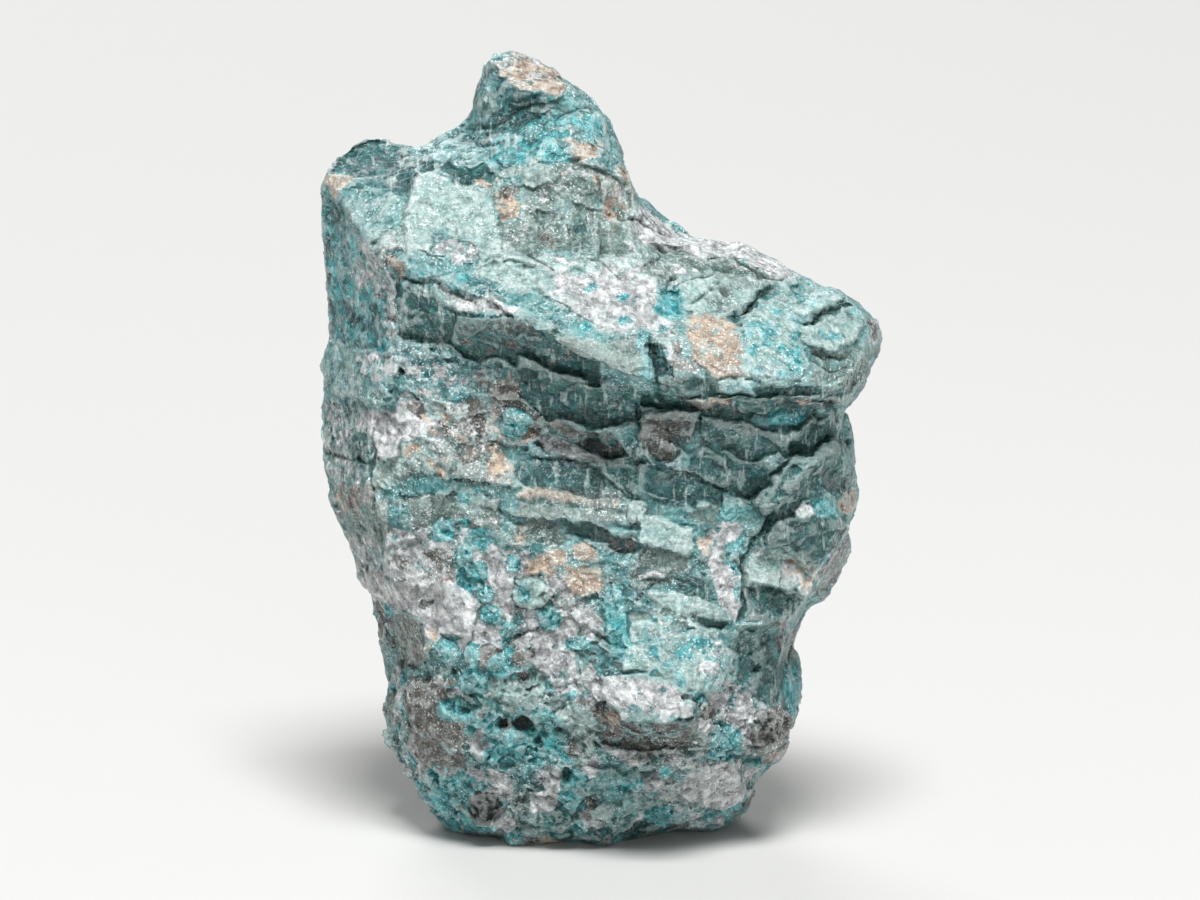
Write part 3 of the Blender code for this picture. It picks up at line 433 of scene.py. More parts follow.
# Single crystals that stand out of the front: mineral, across, up, half width, half height, turn, height
CRYSTALS = [
    ("cyan", -23.3, 45.5, 1.5, 1.5, 0, 0.5), ("cyan", -20.1, 41.7, 1.3, 1.5, 0, 0.5),
    ("cyan", -18.2, 39.4, 1.3, 1.5, 10, 0.5), ("cyan", -16.9, 36.1, 1.1, 1.1, 0, 0.4),
    ("cyan", -12.9, 40.6, 0.9, 1.1, 0, 0.4), ("pale", -10.2, 36.3, 2.6, 2.1, -10, 0.7),
    ("cyan", -11.2, 36.5, 0.9, 1.4, 0, 0.2), ("cyan", -16.2, 33, 1.6, 1.3, -15, 0.5),
    ("cyan", -13.7, 30.7, 1, 1.3, 0, 0.4), ("cyan", -7.6, 32.4, 1.5, 1.6, 10, 0.6),
    ("cyan", -3.3, 28.6, 1.8, 0.9, -10, 0.4), ("cyan", 2.4, 32, 1.4, 5.2, 5, 0.5),
    ("cyan", -22.3, 27.8, 1.6, 1.9, 0, 0.5), ("cyan", -19, 27, 1, 1.9, 0, 0.6),
    ("cyan", -19.1, 24.7, 1.1, 0.9, 0, 0.4), ("cyan", -15, 25.4, 1.5, 1.7, 10, 0.5),
    ("cyan", -18.9, 22.8, 2.1, 1.4, -5, 0.5), ("cyan", -12.5, 61.6, 2, 1.9, -20, 0.7),
    ("cyan", 20.4, 36.6, 0.5, 1.4, 0, 0.3), ("cyan", 19, 48.5, 1.2, 1.2, 0, 0.3),
    ("cyan", -21.8, 18.6, 2.2, 1.3, 0, 0.4), ("deep", 33.8, 35.7, 0.9, 0.9, 0, 0.4),
    ("cyan", -31.3, 21.8, 0.6, 0.7, 0, 0.3), ("pale", 5.3, 48.5, 1.5, 1.5, 0, 0.6),
    ("cyan", 18.8, 13.7, 2.3, 2.6, 0, 0.4), ("smoky", 25.5, 15.8, 3, 3.3, 0, 0.6),
    ("cyan", 28.9, 21, 1.1, 4, 0, 0.4), ("cyan", -21, 66, 1.5, 1.1, 0, 0.3),
    ("cyan", 27.4, 62.2, 2.6, 1, 0, 0.4), ("deep", 22.5, 63.8, 2.2, 1.1, 0, 0.3),
    ("smoky", -16.7, 26.9, 1.5, 1.6, 20, 0.5), ("mica", -17.3, 4.2, 2.1, 2.1, 0, 0.8),
]

# Cracks and grooves of the front: half width, depth, then the points that they pass, all in millimetres
CRACKS = [
    (0.3, 0.7, [(33.9, 59.4), (32.3, 57.9), (31.2, 56.7), (29.3, 56.4), (27.8, 55.8), (26.3, 54.8),
     (25.2, 53.7), (24.8, 52.7), (23.6, 51.9), (23.1, 51.2), (23, 50)]),
    (0.3, 0.9, [(25.5, 48), (24.6, 45.8), (23.7, 44.7), (22.5, 43.7), (21.8, 42.5), (21, 41.4), (20.9, 40.2),
     (21.3, 37.2), (21.2, 35), (21, 32)]),
    (0.4, 0.5, [(-28.2, 82.2), (-24, 81.8), (-20.3, 80.4), (-18.5, 79.1)]),
    (0.4, 0.5, [(-17.6, 105.5), (-14.5, 106.6), (-10.5, 108.5), (-6, 109.2)]),
    (0.4, 0.4, [(-6.8, 106.2), (-5, 108), (-3, 108.8), (0, 108.2)]),
    (0.3, 0.4, [(-17.6, 102.5), (-15.3, 103.5)]),
    (0.25, 0.3, [(-15.5, 100), (-12.8, 99.5)]),
    (0.2, 0.4, [(-11, 86.7), (-8.3, 85.2), (-6.8, 84.2)]),
    (0.2, 0.3, [(0, 85.7), (3, 83)]),
    (0.3, 0.5, [(3, 91.7), (6, 91.7), (6.3, 90.9), (10.8, 89.4)]),
    (0.3, 0.6, [(9, 87.5), (9.8, 87), (13.5, 87.2), (16.8, 86.4), (19.5, 86.7), (21, 85.7), (24, 83.3),
     (27, 82.8), (29, 84.2)]),
    (0.25, 0.35, [(10.8, 81.5), (12.8, 82.7), (16.8, 83.7)]),
    (0.25, 0.35, [(14.3, 79.2), (17, 81.5)]),
    (0.25, 0.35, [(6.3, 84.8), (9, 86.3)]),
    (0.25, 0.35, [(10.7, 83), (9, 80.4)]),
    (0.45, 0.8, [(7.6, 74), (8.2, 71), (8.6, 67.5)]),
    (0.3, 0.5, [(30, 76.2), (32.3, 77.6), (34.5, 78.5), (36.8, 80)]),
    (0.25, 0.25, [(30, 72.5), (33, 71.2), (36.5, 71.5)]),
    (0.25, 0.25, [(30.5, 70.5), (34, 69), (37.5, 70)]),
    (0.35, 0.7, [(20, 77), (21.8, 78.8), (24, 81), (25.2, 82)]),
    (0.3, 0.4, [(-42, 57.5), (-38.3, 56.3), (-34.2, 55.7)]),
    (0.3, 0.4, [(-34, 60.5), (-33.7, 50)]),
    (0.2, 0.3, [(-21.5, 53.3), (-15, 52.5)]),
    (0.3, 0.5, [(5.5, 35.4), (9, 38)]),
    (0.25, 0.3, [(6.8, 49.2), (4.5, 45.8)]),
    (0.3, 0.4, [(-15, 29), (-6, 32)]),
    (0.2, 0.3, [(5.6, 65), (5.3, 50)]),
]

# Pits and cavities of the front: across, up, radius, depth
PITS = [
    (-29.5, 69, 0.6, 1.2), (-14.3, 85.7, 0.3, 0.6), (10.2, 84.8, 0.5, 1), (10.7, 83, 0.45, 0.9),
    (18.6, 81.2, 0.9, 0.5), (20.7, 76.2, 0.4, 0.7), (34, 64, 1, 1.2), (28.5, 58, 0.9, 0.5),
    (36.8, 58.8, 0.5, 0.6), (22.2, 50.4, 0.5, 0.8), (-14.4, 16.6, 0.8, 1.4), (-11.3, 16.4, 1.5, 1.8),
    (-6.4, 15.5, 0.6, 1.2), (-9.4, 14, 0.6, 1), (-20.3, 18.7, 0.8, 1), (-4.9, 8.7, 1, 1.2),
    (-21.8, 24.5, 0.6, 0.8), (-1.1, 59, 1.6, 0.5), (23.6, 25.2, 0.6, 0.8), (-25.7, 35, 0.5, 0.6),
    (-31.9, 31.7, 0.4, 0.6), (-31, 29.4, 0.3, 0.5), (12.8, 20.6, 0.8, 0.9),
]

# Small ledges of the front: how far the upper side stands out, over what distance it fades, and their line
STEPS = [
    (0.8, 4, [(-12, 48), (-8.3, 47.2), (-6, 47.3), (-1.5, 46.7), (1.8, 45.2), (6, 44)]),
    (0.6, 3, [(-9, 56.7), (-3.8, 56), (0, 53.7), (3, 51.5)]),
    (0.9, 3, [(6, 57), (9.3, 56), (15, 53.7), (18, 52)]),
    (0.5, 3, [(6, 51.2), (13.5, 49.2), (18.3, 48.8)]),
    (0.6, 2.5, [(21.5, 37.3), (26.3, 37), (30.5, 35.5)]),
    (0.8, 3, [(-18, 80), (-12, 77), (-8.3, 75.2), (0, 71), (6.8, 68.3)]),
    (0.8, 3, [(-15, 65), (-11, 64.5), (-7.8, 62.2), (0, 61), (5.5, 61.5)]),
    (0.7, 2.5, [(-21.5, 53.3), (-18, 53), (-13, 52)]),
    (0.6, 3, [(-28, 66), (-24, 64.5), (-21, 62), (-19, 62.5)]),
]

# The parts of the front whose small faces glitter
GLITTER = [
    (-38, 58, 4, 7, 0, 1), (-25, 69.5, 6, 4, -30, 1), (-31.5, 59.5, 3.5, 3.5, 0, 1.1),
    (14, 90, 11, 2, -15, 0.8), (-21, 89, 6, 6, 0, 0.7), (-12, 78.5, 12, 3, -12, 0.8), (0, 96, 5, 4, 0, 0.6),
    (-22, 101, 4, 3, 0, 0.6), (8, 14, 7, 4, 0, 0.7), (-22, 26, 5, 5, 0, 0.6), (4, 38, 8, 5, 0, 0.6),
]

# How strongly every part of the surface glitters at least
LEAST_GLITTER = 0.35

# The minerals in painting order
MINERALS = {"pale": PALE, "sage": SAGE, "deep": DEEP, "quartz": QUARTZ, "smoky": SMOKY, "peach": PEACH,
            "cyan": CYAN, "mica": MICA}

# How much of the sides, the back and the crumbly grains each mineral takes up
MINERAL_SHARES = {"pale": 0.18, "sage": 0.1, "deep": 0.14, "quartz": 0.28, "smoky": 0.1, "peach": 0.04,
                  "cyan": 0.2, "mica": 0.03}

# A mineral's level at the sides and the back: its middle, and what its swells and its share count
COMMON_LEVEL = 0.62
SWELL_WEIGHT, SHARE_WEIGHT = 0.55, 1.3

# The crumbly grains: the part of them that a mineral's share takes, its level in the joints of its own grains
# and how much more it has inside them, over what distance, and its level in the other grains
GRAIN_PART = 0.75
JOINT_LEVEL, GRAIN_GAIN, JOINT_WIDTH = 0.85, 0.6, 0.15
OTHER_GRAINS = 0.1

# How much of the grains a drawn mineral takes away, between which of its levels, and a crystal's own level
GRAIN_LOSS, GRAIN_LOSS_EDGE = 0.6, (0.5, 0.8)
CRYSTAL_LEVEL = 1.6

# The shades of feldspar grade into each other; the other minerals end at an edge
FELDSPARS = ("pale", "sage", "deep")
GRADED_EDGE = (0.45, 1.0)
CUT_EDGE = (0.67, 0.83)

# How ragged the minerals are, and the size of the specks that each breaks up into, in millimetres
RAGGEDNESS = 2.6
OWN_SPECKS = {"pale": 3.4, "sage": 3.0, "deep": 3.6, "quartz": 2.0, "smoky": 2.6, "peach": 2.8, "cyan": 2.4,
              "mica": 1.6}

# Two shades of the stone's own teal and of each mineral
SHADES = {
    "teal": ("428587", "6BA7A7"), "pale": ("8BB1AE", "B6CDCA"), "sage": ("54706B", "7C938D"),
    "deep": ("1B4F51", "337473"), "quartz": ("A6A8AB", "DFE1E2"), "smoky": ("4E4B46", "787570"),
    "peach": ("A08571", "CDBCA6"), "cyan": ("1E9299", "5ABDC0"), "mica": ("20201F", "454843"),
}

# Marks over the minerals in painting order, with the painted shade of hollows and of cracks and pits among
# them: their colour, and the size of what draws them, in millimetres
MARKS_AND_SHADE = {
    "streak": ("C9DAD6", 1.0), "vein": ("DCE6E4", 2.2), "split": ("2F4A47", 3.2), "sugar": ("E6ECEB", 0.35),
    # The hollow and crack marks are painted shade: darker in the hollows, dark in the depths of cracks and
    # pits
    "pepper": ("35504C", 0.55), "worn edge": ("D6E2DF", 0), "hollow": ("2C403C", 0), "crack_and_pit_shade": ("1E2A27", 0),
}
STREAK_TURN, STREAK_STRETCH = (0.0, 0.08, 0.05), (1.0, 0.12, 0.2)
FLAKE_TURN, FLAKE_STRETCH = (0.3, 0.26, 0.2), (0.8, 1.0, 1.5)

# Sizes in millimetres of the swells of the teal, of a mineral's shade, of the sugar grains, of the last tone,
# a painted fine shade, and of dull and shiny places, then of the toned grains, the flakes, the rough grains
# and the glassy facets
BASE_SWELL, SHADE_SWELL, SUGAR_SWELL, FINE_SHADE_SWELL, DULL_SWELL = 7.0, 1.6, 5.0, 0.7, 1.2
TONED_GRAIN, WIDE_FLAKE, NEAR_FLAKE, ROUGH_GRAIN, FACET = 1.1, 2.4, 0.9, 0.6, 0.6

# The roughness of the shiniest and the dullest places, the depth of the finest relief, in metres, and the
# body of the stone
SHINIEST, DULLEST = 0.24, 0.58
BUMP_DEPTH = 0.5 * MM
STONE_BODY = {"IOR": 1.53, "Subsurface Weight": 0.2, "Subsurface Radius": (0.7, 1.0, 1.0),
              "Subsurface Scale": 1.2 * MM}

# The studio: each light's place, size and power, what they aim at, the room's glow, and the floor's half
# width, in metres, its shade and its roughness
LIGHTS = {
    "light_above": ((0.1, -1.2, 2.5), 0.9, 90.0),
    "light_front": ((0.5, -2.4, 0.6), 1.2, 9.0),
    "light_behind": ((-0.5, 2.2, 1.3), 1.2, 28.0),
}
LIGHTS_AIM = (0.0, 0.0, 0.05)
ROOM_GLOW = 0.18
FLOOR_HALF = 4.0
FLOOR_SHADE = "D2D2D0"
FLOOR_ROUGHNESS = 0.9


def as_drawn(points):
    """Gives (across, up, back) in millimetres for an array of points of the frame, in metres."""
    across = points[:, 0] / MM + DRAWING_SHIFT[0]
    back = points[:, 1] / MM + DRAWING_SHIFT[1]
    up = (points[:, 2] / MM + back * math.tan(EYE_TILT)) * math.cos(EYE_TILT)
    return np.stack([across, up, back], axis=1)


def smooth_step(low, high, values):
    """Rises smoothly from 0 at low to 1 at high."""
    share = np.clip((values - low) / (high - low), 0.0, 1.0)
    return share * share * (3.0 - 2.0 * share)


def scattered(cells, seed):
    """Gives three scattered numbers between 0 and 1 for every cell of a grid."""
    parts = [cells[:, axis].astype(np.int64).astype(np.uint32) for axis in range(3)]
    mixed = parts[0] * np.uint32(73856093) ^ parts[1] * np.uint32(19349663) ^ parts[2] * np.uint32(83492791)
    mixed += np.uint32(seed * 7919 + 12345)
    numbers = []
    for _ in range(3):
        mixed = (mixed ^ (mixed >> np.uint32(15))) * np.uint32(2246822519)
        mixed = (mixed ^ (mixed >> np.uint32(13))) * np.uint32(3266489917)
        mixed ^= mixed >> np.uint32(16)
        numbers.append(mixed / 4294967296.0)
    return np.stack(numbers, axis=1)


def soft_noise(spots, size, seed=0):
    """Gives smooth noise between about -1 and 1 at every spot, with swells of the given size."""
    places = spots / size
    cells = np.floor(places)
    share = places - cells
    ease = share ** 3 * (share * (share * 6.0 - 15.0) + 10.0)
    total = np.zeros(len(spots))
    for corner in np.ndindex(2, 2, 2):
        slope = scattered(cells + corner, seed) * 2.0 - 1.0
        weight = np.where(np.array(corner) == 1, ease, 1.0 - ease).prod(axis=1)
        total += weight * ((share - corner) * slope).sum(axis=1)
    return total * 1.7


def layered(spots, layers):
    """Adds up soft noise from rows of reach, size and seed."""
    return sum(reach * soft_noise(spots, size, seed) for reach, size, seed in layers)


def chips_of(spots, size, seed=0):
    """Gives every spot's chip: its scattered numbers, the way to its middle and the nearness of its rim."""
    places = spots / np.asarray(size)
    cells = np.floor(places)
    nearest, second = np.full(len(spots), 9.0), np.full(len(spots), 9.0)
    numbers, way = np.zeros((len(spots), 3)), np.zeros((len(spots), 3))
    for step in np.ndindex(3, 3, 3):
        cell = cells + step - 1.0
        own = scattered(cell, seed)
        offset = places - cell - own
        distance = np.sqrt((offset ** 2).sum(axis=1))
        closer = distance < nearest
        second = np.where(closer, nearest, np.minimum(second, distance))
        nearest = np.where(closer, distance, nearest)
        numbers[closer], way[closer] = own[closer], offset[closer]
    return numbers, way, second - nearest


def kept(thing, kind, settings):
    """Gives the thing a modifier and keeps its result as the mesh."""
    modifier = thing.modifiers.new(kind, kind)
    for name, value in settings.items():
        setattr(modifier, name, value)
    evaluated = thing.evaluated_get(bpy.context.evaluated_depsgraph_get())
    thing.data = bpy.data.meshes.new_from_object(evaluated)
    thing.modifiers.remove(modifier)


def corners_of(mesh):
    """Gives the corners of a mesh as an array of points, in metres."""
    flat = np.empty(len(mesh.vertices) * 3, dtype=np.float32)
    mesh.vertices.foreach_get("co", flat)
    return flat.reshape(-1, 3).astype(np.float64)


def normals_of(mesh):
    """Gives the directions that the corners of a mesh face."""
    flat = np.empty(len(mesh.vertices) * 3, dtype=np.float32)
    mesh.vertex_normals.foreach_get("vector", flat)
    return flat.reshape(-1, 3).astype(np.float64)


def place_corners(mesh, places):
    """Moves the corners of a mesh to the places of an array."""
    mesh.vertices.foreach_set("co", places.astype(np.float32).ravel())
    mesh.update()


def softened(mesh, places, rounds):
    """Gives the places of the corners after each has been drawn to the middle of its neighbours."""
    ends = np.empty(len(mesh.edges) * 2, dtype=np.int32)
    mesh.edges.foreach_get("vertices", ends)
    ends = ends.reshape(-1, 2)
    ones, others = np.concatenate([ends[:, 0], ends[:, 1]]), np.concatenate([ends[:, 1], ends[:, 0]])
    count = np.maximum(np.bincount(ones, minlength=len(places)), 1)
    for _ in range(rounds):
        sums = [np.bincount(ones, weights=places[others, axis], minlength=len(places)) for axis in range(3)]
        places = 0.5 * places + 0.5 * np.stack(sums, axis=1) / count[:, None]
    return places


def within_patch(drawn, across, up, half_width, half_height, turn, square=False):
    """Gives how far out every place lies in a turned patch: 0 in its middle and 1 at its rim."""
    angle = math.radians(turn)
    aside, above = drawn[:, 0] - across, drawn[:, 1] - up
    along = (aside * math.cos(angle) + above * math.sin(angle)) / half_width
    over = (above * math.cos(angle) - aside * math.sin(angle)) / half_height
    if square:
        return (np.abs(along) ** 3 + np.abs(over) ** 3) ** (1 / 3)
    return np.hypot(along, over)


def spread_of(drawn, patches, wobble):
    """Gives how strongly a list of patches covers every place, with wandering rims."""
    spread = np.zeros(len(drawn))
    for across, up, half_width, half_height, turn, strength in patches:
        out = within_patch(drawn, across, up, half_width, half_height, turn) + wobble
        spread = np.maximum(spread, strength * smooth_step(*PATCH_EDGE, out))
    return spread


def within_corners(drawn, corners):
    """Finds the places at a drawn outline, and how deep in it each of them lies, in millimetres."""
    outline = np.array(corners)
    low, high = outline.min(axis=0) - EDGE_REACH, outline.max(axis=0) + EDGE_REACH
    near = np.flatnonzero(((drawn[:, :2] > low) & (drawn[:, :2] < high)).all(axis=1))
    spots = drawn[near, :2]
    nearest, inside = np.full(len(near), 9.0), np.zeros(len(near), dtype=bool)
    for start, end in zip(outline, np.roll(outline, -1, axis=0)):
        run, way = end - start, spots - start
        share = np.clip((way @ run) / run.dot(run), 0.0, 1.0)
        nearest = np.minimum(nearest, np.hypot(*(way - share[:, None] * run).T))
        crossing = (start[1] > spots[:, 1]) != (end[1] > spots[:, 1])
        rise = run[1] if run[1] else 1e-9
        inside ^= crossing & (way[:, 0] < way[:, 1] * run[0] / rise)
    return near, np.where(inside, nearest, -nearest)


def flat_faces(drawn, nearness, front):
    """Gives how far the drawn faces move towards the eye, how calm they are, and their minerals."""
    shift, calm = np.zeros(len(drawn)), np.zeros(len(drawn))
    spreads = {name: np.zeros(len(drawn)) for name in MINERALS}
    for minerals, lift, lean, corners in FACES:
        near, depth = within_corners(drawn, corners)
        inside, taken = smooth_step(*SHAPE_EDGE, depth), smooth_step(*MINERAL_EDGE, depth)
        across, up = drawn[near, 0], drawn[near, 1]
        level = np.stack([np.ones(len(near)), across, up], axis=1)
        core = (depth > 0.0) & (front[near] > 0.5)
        wish = lift + lean * (up - sum(corner[1] for corner in corners) / len(corners))
        if core.sum() > 9:
            plane = np.linalg.lstsq(level[core], nearness[near][core], rcond=None)[0]
            wish += np.clip(FLATNESS * (level @ plane - nearness[near]), -MOST_FLATTENED, MOST_FLATTENED)
        shift[near] += inside * (wish - shift[near])
        calm[near] = np.maximum(calm[near], inside * min(max(minerals.values()), 1.0))
        for name in MINERALS:
            spreads[name][near] += taken * (minerals.get(name, 0.0) - spreads[name][near])
    return shift, calm, spreads


def nearest_on_line(drawn, line):
    """Gives the distance from every place to a line of points, and the side: above it is positive."""
    nearest = np.full(len(drawn), 1e9)
    side = np.zeros(len(drawn))
    for (x0, y0), (x1, y1) in zip(line, line[1:]):
        run = np.array([x1 - x0, y1 - y0])
        aside, above = drawn[:, 0] - x0, drawn[:, 1] - y0
        share = np.clip((aside * run[0] + above * run[1]) / run.dot(run), 0.0, 1.0)
        distance = np.hypot(aside - share * run[0], above - share * run[1])
        closer = distance < nearest
        nearest[closer] = distance[closer]
        side[closer] = np.sign(run[0] * above - run[1] * aside)[closer]
    return nearest, side


def chipped(spots, chips, share):
    """Gives flat chips, drawn out along the bands and each tilted its own way, in millimetres."""
    wanted = share > 0.001
    banded = np.stack([spots[:, 0] - BAND_DIP * spots[:, 1], spots[:, 1] + BAND_DIP * spots[:, 0],
                       spots[:, 2]], axis=1)[wanted]
    height = np.zeros(len(spots))
    for seed, (size, depth, tilt) in enumerate(chips):
        bent = banded + 0.2 * size[1] * soft_noise(banded, 0.6 * size[1], seed)[:, None]
        numbers, way, _ = chips_of(bent, size, seed)
        lean = (numbers[:, [1, 2, 0]] * 2.0 - 1.0) * tilt
        height[wanted] += depth * ((numbers[:, 0] - 0.5) * 1.3 + (lean * way).sum(axis=1))
    return height * share


def wandering(drawn):
    """Moves the places a little aside, so that drawn lines and rims come out ragged."""
    aside, above = layered(drawn, WANDER_ASIDE), layered(drawn, WANDER_UP)
    return drawn + np.stack([aside, above, np.zeros(len(drawn))], axis=1)


def drawn_relief(drawn):
    """Gives the height of the drawn cracks, pits, ledges and crystals, and the shade painted into their
    depths.
    """
    height = np.zeros(len(drawn))
    depth_shade = np.zeros(len(drawn))
    for half_width, depth, line in CRACKS:
        distance, _ = nearest_on_line(drawn, line)
        core = np.exp(-(distance / half_width) ** 2)
        height -= depth * core
        depth_shade = np.maximum(depth_shade, core)
    for across, up, radius, depth in PITS:
        core = smooth_step(*PIT_EDGE, within_patch(drawn, across, up, radius, radius, 0))
        height -= depth * core
        depth_shade = np.maximum(depth_shade, core)
    for rise, fade, line in STEPS:
        distance, side = nearest_on_line(drawn, line)
        height += np.where(side > 0, rise * np.exp(-distance / fade), 0.0)
    for _, across, up, half_width, half_height, turn, rise in CRYSTALS:
        out = within_patch(drawn, across, up, half_width, half_height, turn, square=True)
        height += rise * smooth_step(*CRYSTAL_EDGE, out)
    return height, depth_shade


def crumbly_share(drawn, front):
    """Tells where the stone is crumbly grains, from 0 for cleaved feldspar to 1."""
    wander = layered(drawn, CRUMBLY_WANDER)
    foot = smooth_step(FOOT_TOP, FOOT_TOP - FOOT_FADE, drawn[:, 1] + wander)
    marked = spread_of(drawn, CRUMBLY, PART_WANDER * wander) * front
    return np.maximum(foot, marked)


def fine_skin(solid):
    """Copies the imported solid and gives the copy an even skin, closed and a little softened."""
    mesh = solid.data.copy()
    stone = bpy.data.objects.new("amazonite_stone", mesh)
    bpy.context.scene.collection.objects.link(stone)
    joined = bmesh.new()
    joined.from_mesh(mesh)
    bmesh.ops.remove_doubles(joined, verts=joined.verts[:], dist=JOIN_DISTANCE)
    joined.to_mesh(mesh)
    joined.free()
    grid = SKIN_GRID * 1.0
    kept(stone, "REMESH", {"mode": "VOXEL", "voxel_size": grid})
    places = corners_of(stone.data)
    place_corners(stone.data, softened(stone.data, places, SOFTEN_ROUNDS))
    return stone


def broken_height(drawn, crumbly, calm_faces, facing):
    """Gives the height of the chips and the hackle, calmer on drawn faces and rims and bolder behind."""
    chips = chipped(drawn, CLEAVED_CHIPS, 1.0 - crumbly) + chipped(drawn, CRUMBLY_CHIPS, crumbly)
    rim = np.exp(-(facing / RIM_WIDTH) ** 2)
    chips *= 1.0 - CALM_FACES * calm_faces - CALM_RIMS * rim + BACK_GAIN * smooth_step(*BACK_EDGE, facing)
    return chips + layered(drawn, HACKLE)


def within_box(places):
    """Keeps the places close to the box of the solid, and above the flat spot."""
    low, high = np.array(solid_box[0]) - BOX_SPARE * MM, np.array(solid_box[1]) + BOX_SPARE * MM
    low[2] = 0.0
    return np.clip(places, low, high)


def rough_relief(stone):
    """Works the broken surface into the skin and keeps what the material needs of it."""
    mesh = stone.data
    places, normals = corners_of(mesh), normals_of(mesh)
    drawn, facing = as_drawn(places), normals @ TOWARDS_EYE
    front = smooth_step(*FRONT_EDGE, facing)
    wandered = wandering(drawn)
    features, depth_shade = drawn_relief(wandered)
    shift, calm_faces, spreads = flat_faces(wandered, places @ TOWARDS_EYE / MM, front)
    crumbly = crumbly_share(drawn, front) * (1.0 - CRUMBLY_LOSS * calm_faces * front)
    height = broken_height(drawn, crumbly, calm_faces * front, facing) + front * features
    shift *= smooth_step(*STEADY_EDGE, facing)
    rise = smooth_step(0.0, FOOT_RISE, places[:, 2] / MM)
    moved = places + (normals * height[:, None] + TOWARDS_EYE * shift[:, None]) * rise[:, None] * MM
    moved = within_box(moved)
    place_corners(mesh, moved)
    fields = mineral_fields(drawn, front, crumbly, spreads)
    # The depths of the cracks and pits, for the shade painted into them
    fields["crack_and_pit_shade"] = depth_shade * front
    fields["glitter"] = np.maximum(spread_of(drawn, GLITTER, 0.0) * front, LEAST_GLITTER)
    fields["crumbly"] = crumbly
    fields["hollow"] = hollows(mesh, moved)
    for name, values in fields.items():
        attribute = mesh.attributes.new(name, "FLOAT", "POINT")
        attribute.data.foreach_set("value", values.astype(np.float32))


def hollows(mesh, places):
    """Tells how deep every corner lies below its surroundings, near and wide, in millimetres."""
    normals = normals_of(mesh)
    near = softened(mesh, places, NEAR_ROUNDS)
    wide = softened(mesh, near, WIDE_ROUNDS)
    depth = NEAR_WEIGHT * (near - places) + WIDE_WEIGHT * (wide - places)
    return (depth * normals).sum(axis=1) / MM


def crystal_fields(drawn, wobble):
    """Gives for each mineral where its drawn crystals are."""
    crystals = {name: np.zeros(len(drawn)) for name in MINERALS}
    for mineral, across, up, half_width, half_height, turn, _ in CRYSTALS:
        out = within_patch(drawn, across, up, half_width, half_height, turn, square=True)
        core = smooth_step(*CRYSTAL_COLOUR_EDGE, out + CRYSTAL_WANDER * wobble)
        crystals[mineral] = np.maximum(crystals[mineral], core)
    return crystals


def mineral_fields(drawn, front, crumbly, spreads):
    """Gives for each mineral how strongly it takes up every place of the surface."""
    wobble = layered(drawn, MINERAL_WANDER)
    numbers, _, joints = chips_of(drawn, GRAIN_SIZE, 5)
    picks = numbers[:, 0]
    crystals = crystal_fields(drawn, wobble)
    taken = np.max(list(crystals.values()), axis=0)
    fields = {}
    reached = 0.0
    for place, (name, share) in enumerate(MINERAL_SHARES.items()):
        swells = layered(drawn, ((1.0, 12.0, 11 + place), (0.5, 5.0, 31 + place)))
        around = COMMON_LEVEL + SWELL_WEIGHT * (swells - COMMON_LEVEL + SHARE_WEIGHT * share)
        own_grain = (picks >= reached) & (picks < reached + GRAIN_PART * share)
        reached += share
        inside = JOINT_LEVEL + GRAIN_GAIN * smooth_step(0.0, JOINT_WIDTH, joints)
        grain = np.where(own_grain, inside, OTHER_GRAINS)
        spread = np.maximum(spreads[name], spread_of(drawn, MINERALS[name], wobble))
        field = np.maximum(spread * front, around * (1.0 - front))
        grain *= crumbly * (1.0 - GRAIN_LOSS * smooth_step(*GRAIN_LOSS_EDGE, field))
        own_crystals = CRYSTAL_LEVEL * crystals[name] * front
        fields[name] = np.maximum(field, grain) * (1.0 - taken * front) + own_crystals
    return fields


def thinned(stone):
    """Brings the skin under its count of triangles."""
    kept(stone, "TRIANGULATE", {})
    count = len(stone.data.polygons)
    if count > MOST_TRIANGLES:
        kept(stone, "DECIMATE", {"ratio": MOST_TRIANGLES / count})


def node_of(tree, kind, inputs=None, **settings):
    """Adds a node to a tree, sets it, and links or fills its inputs."""
    node = tree.nodes.new(kind)
    for name, value in settings.items():
        setattr(node, name, value)
    for name, value in (inputs or {}).items():
        if isinstance(value, bpy.types.NodeSocket):
            tree.links.new(value, node.inputs[name])
        else:
            node.inputs[name].default_value = value
    return node


def worked_out(tree, operation, *values):
    """Works out one value from several, in their order."""
    result = values[0]
    for value in values[1:]:
        result = node_of(tree, "ShaderNodeMath", {0: result, 1: value}, operation=operation).outputs[0]
    return result


def product(tree, *values):
    """Multiplies values."""
    return worked_out(tree, "MULTIPLY", *values)


def blended(tree, share, one, other, blend_type="MIX"):
    """Blends two colours by a share."""
    inputs = {0: share, 6: one, 7: other}
    return node_of(tree, "ShaderNodeMix", inputs, data_type="RGBA", blend_type=blend_type).outputs[2]


def toned(tree, base, tone):
    """Makes a colour brighter or darker by a tone."""
    grey = node_of(tree, "ShaderNodeCombineColor", {0: tone, 1: tone, 2: tone}).outputs[0]
    return blended(tree, 1.0, base, grey, "MULTIPLY")


def eased(tree, value, low, high, start=0.0, end=1.0):
    """Eases a value from start at low to end at high."""
    inputs = {0: value, 1: low, 2: high, 3: start, 4: end}
    return node_of(tree, "ShaderNodeMapRange", inputs, interpolation_type="SMOOTHSTEP").outputs[0]


def speckle(tree, places, size, detail=2.0, roughness=0.5):
    """Makes noise between 0 and 1 whose swells have a size in millimetres."""
    node = node_of(tree, "ShaderNodeTexNoise",
                   {"Vector": places, "Scale": 1.0 / size, "Detail": detail, "Roughness": roughness})
    return node.outputs["Fac"]


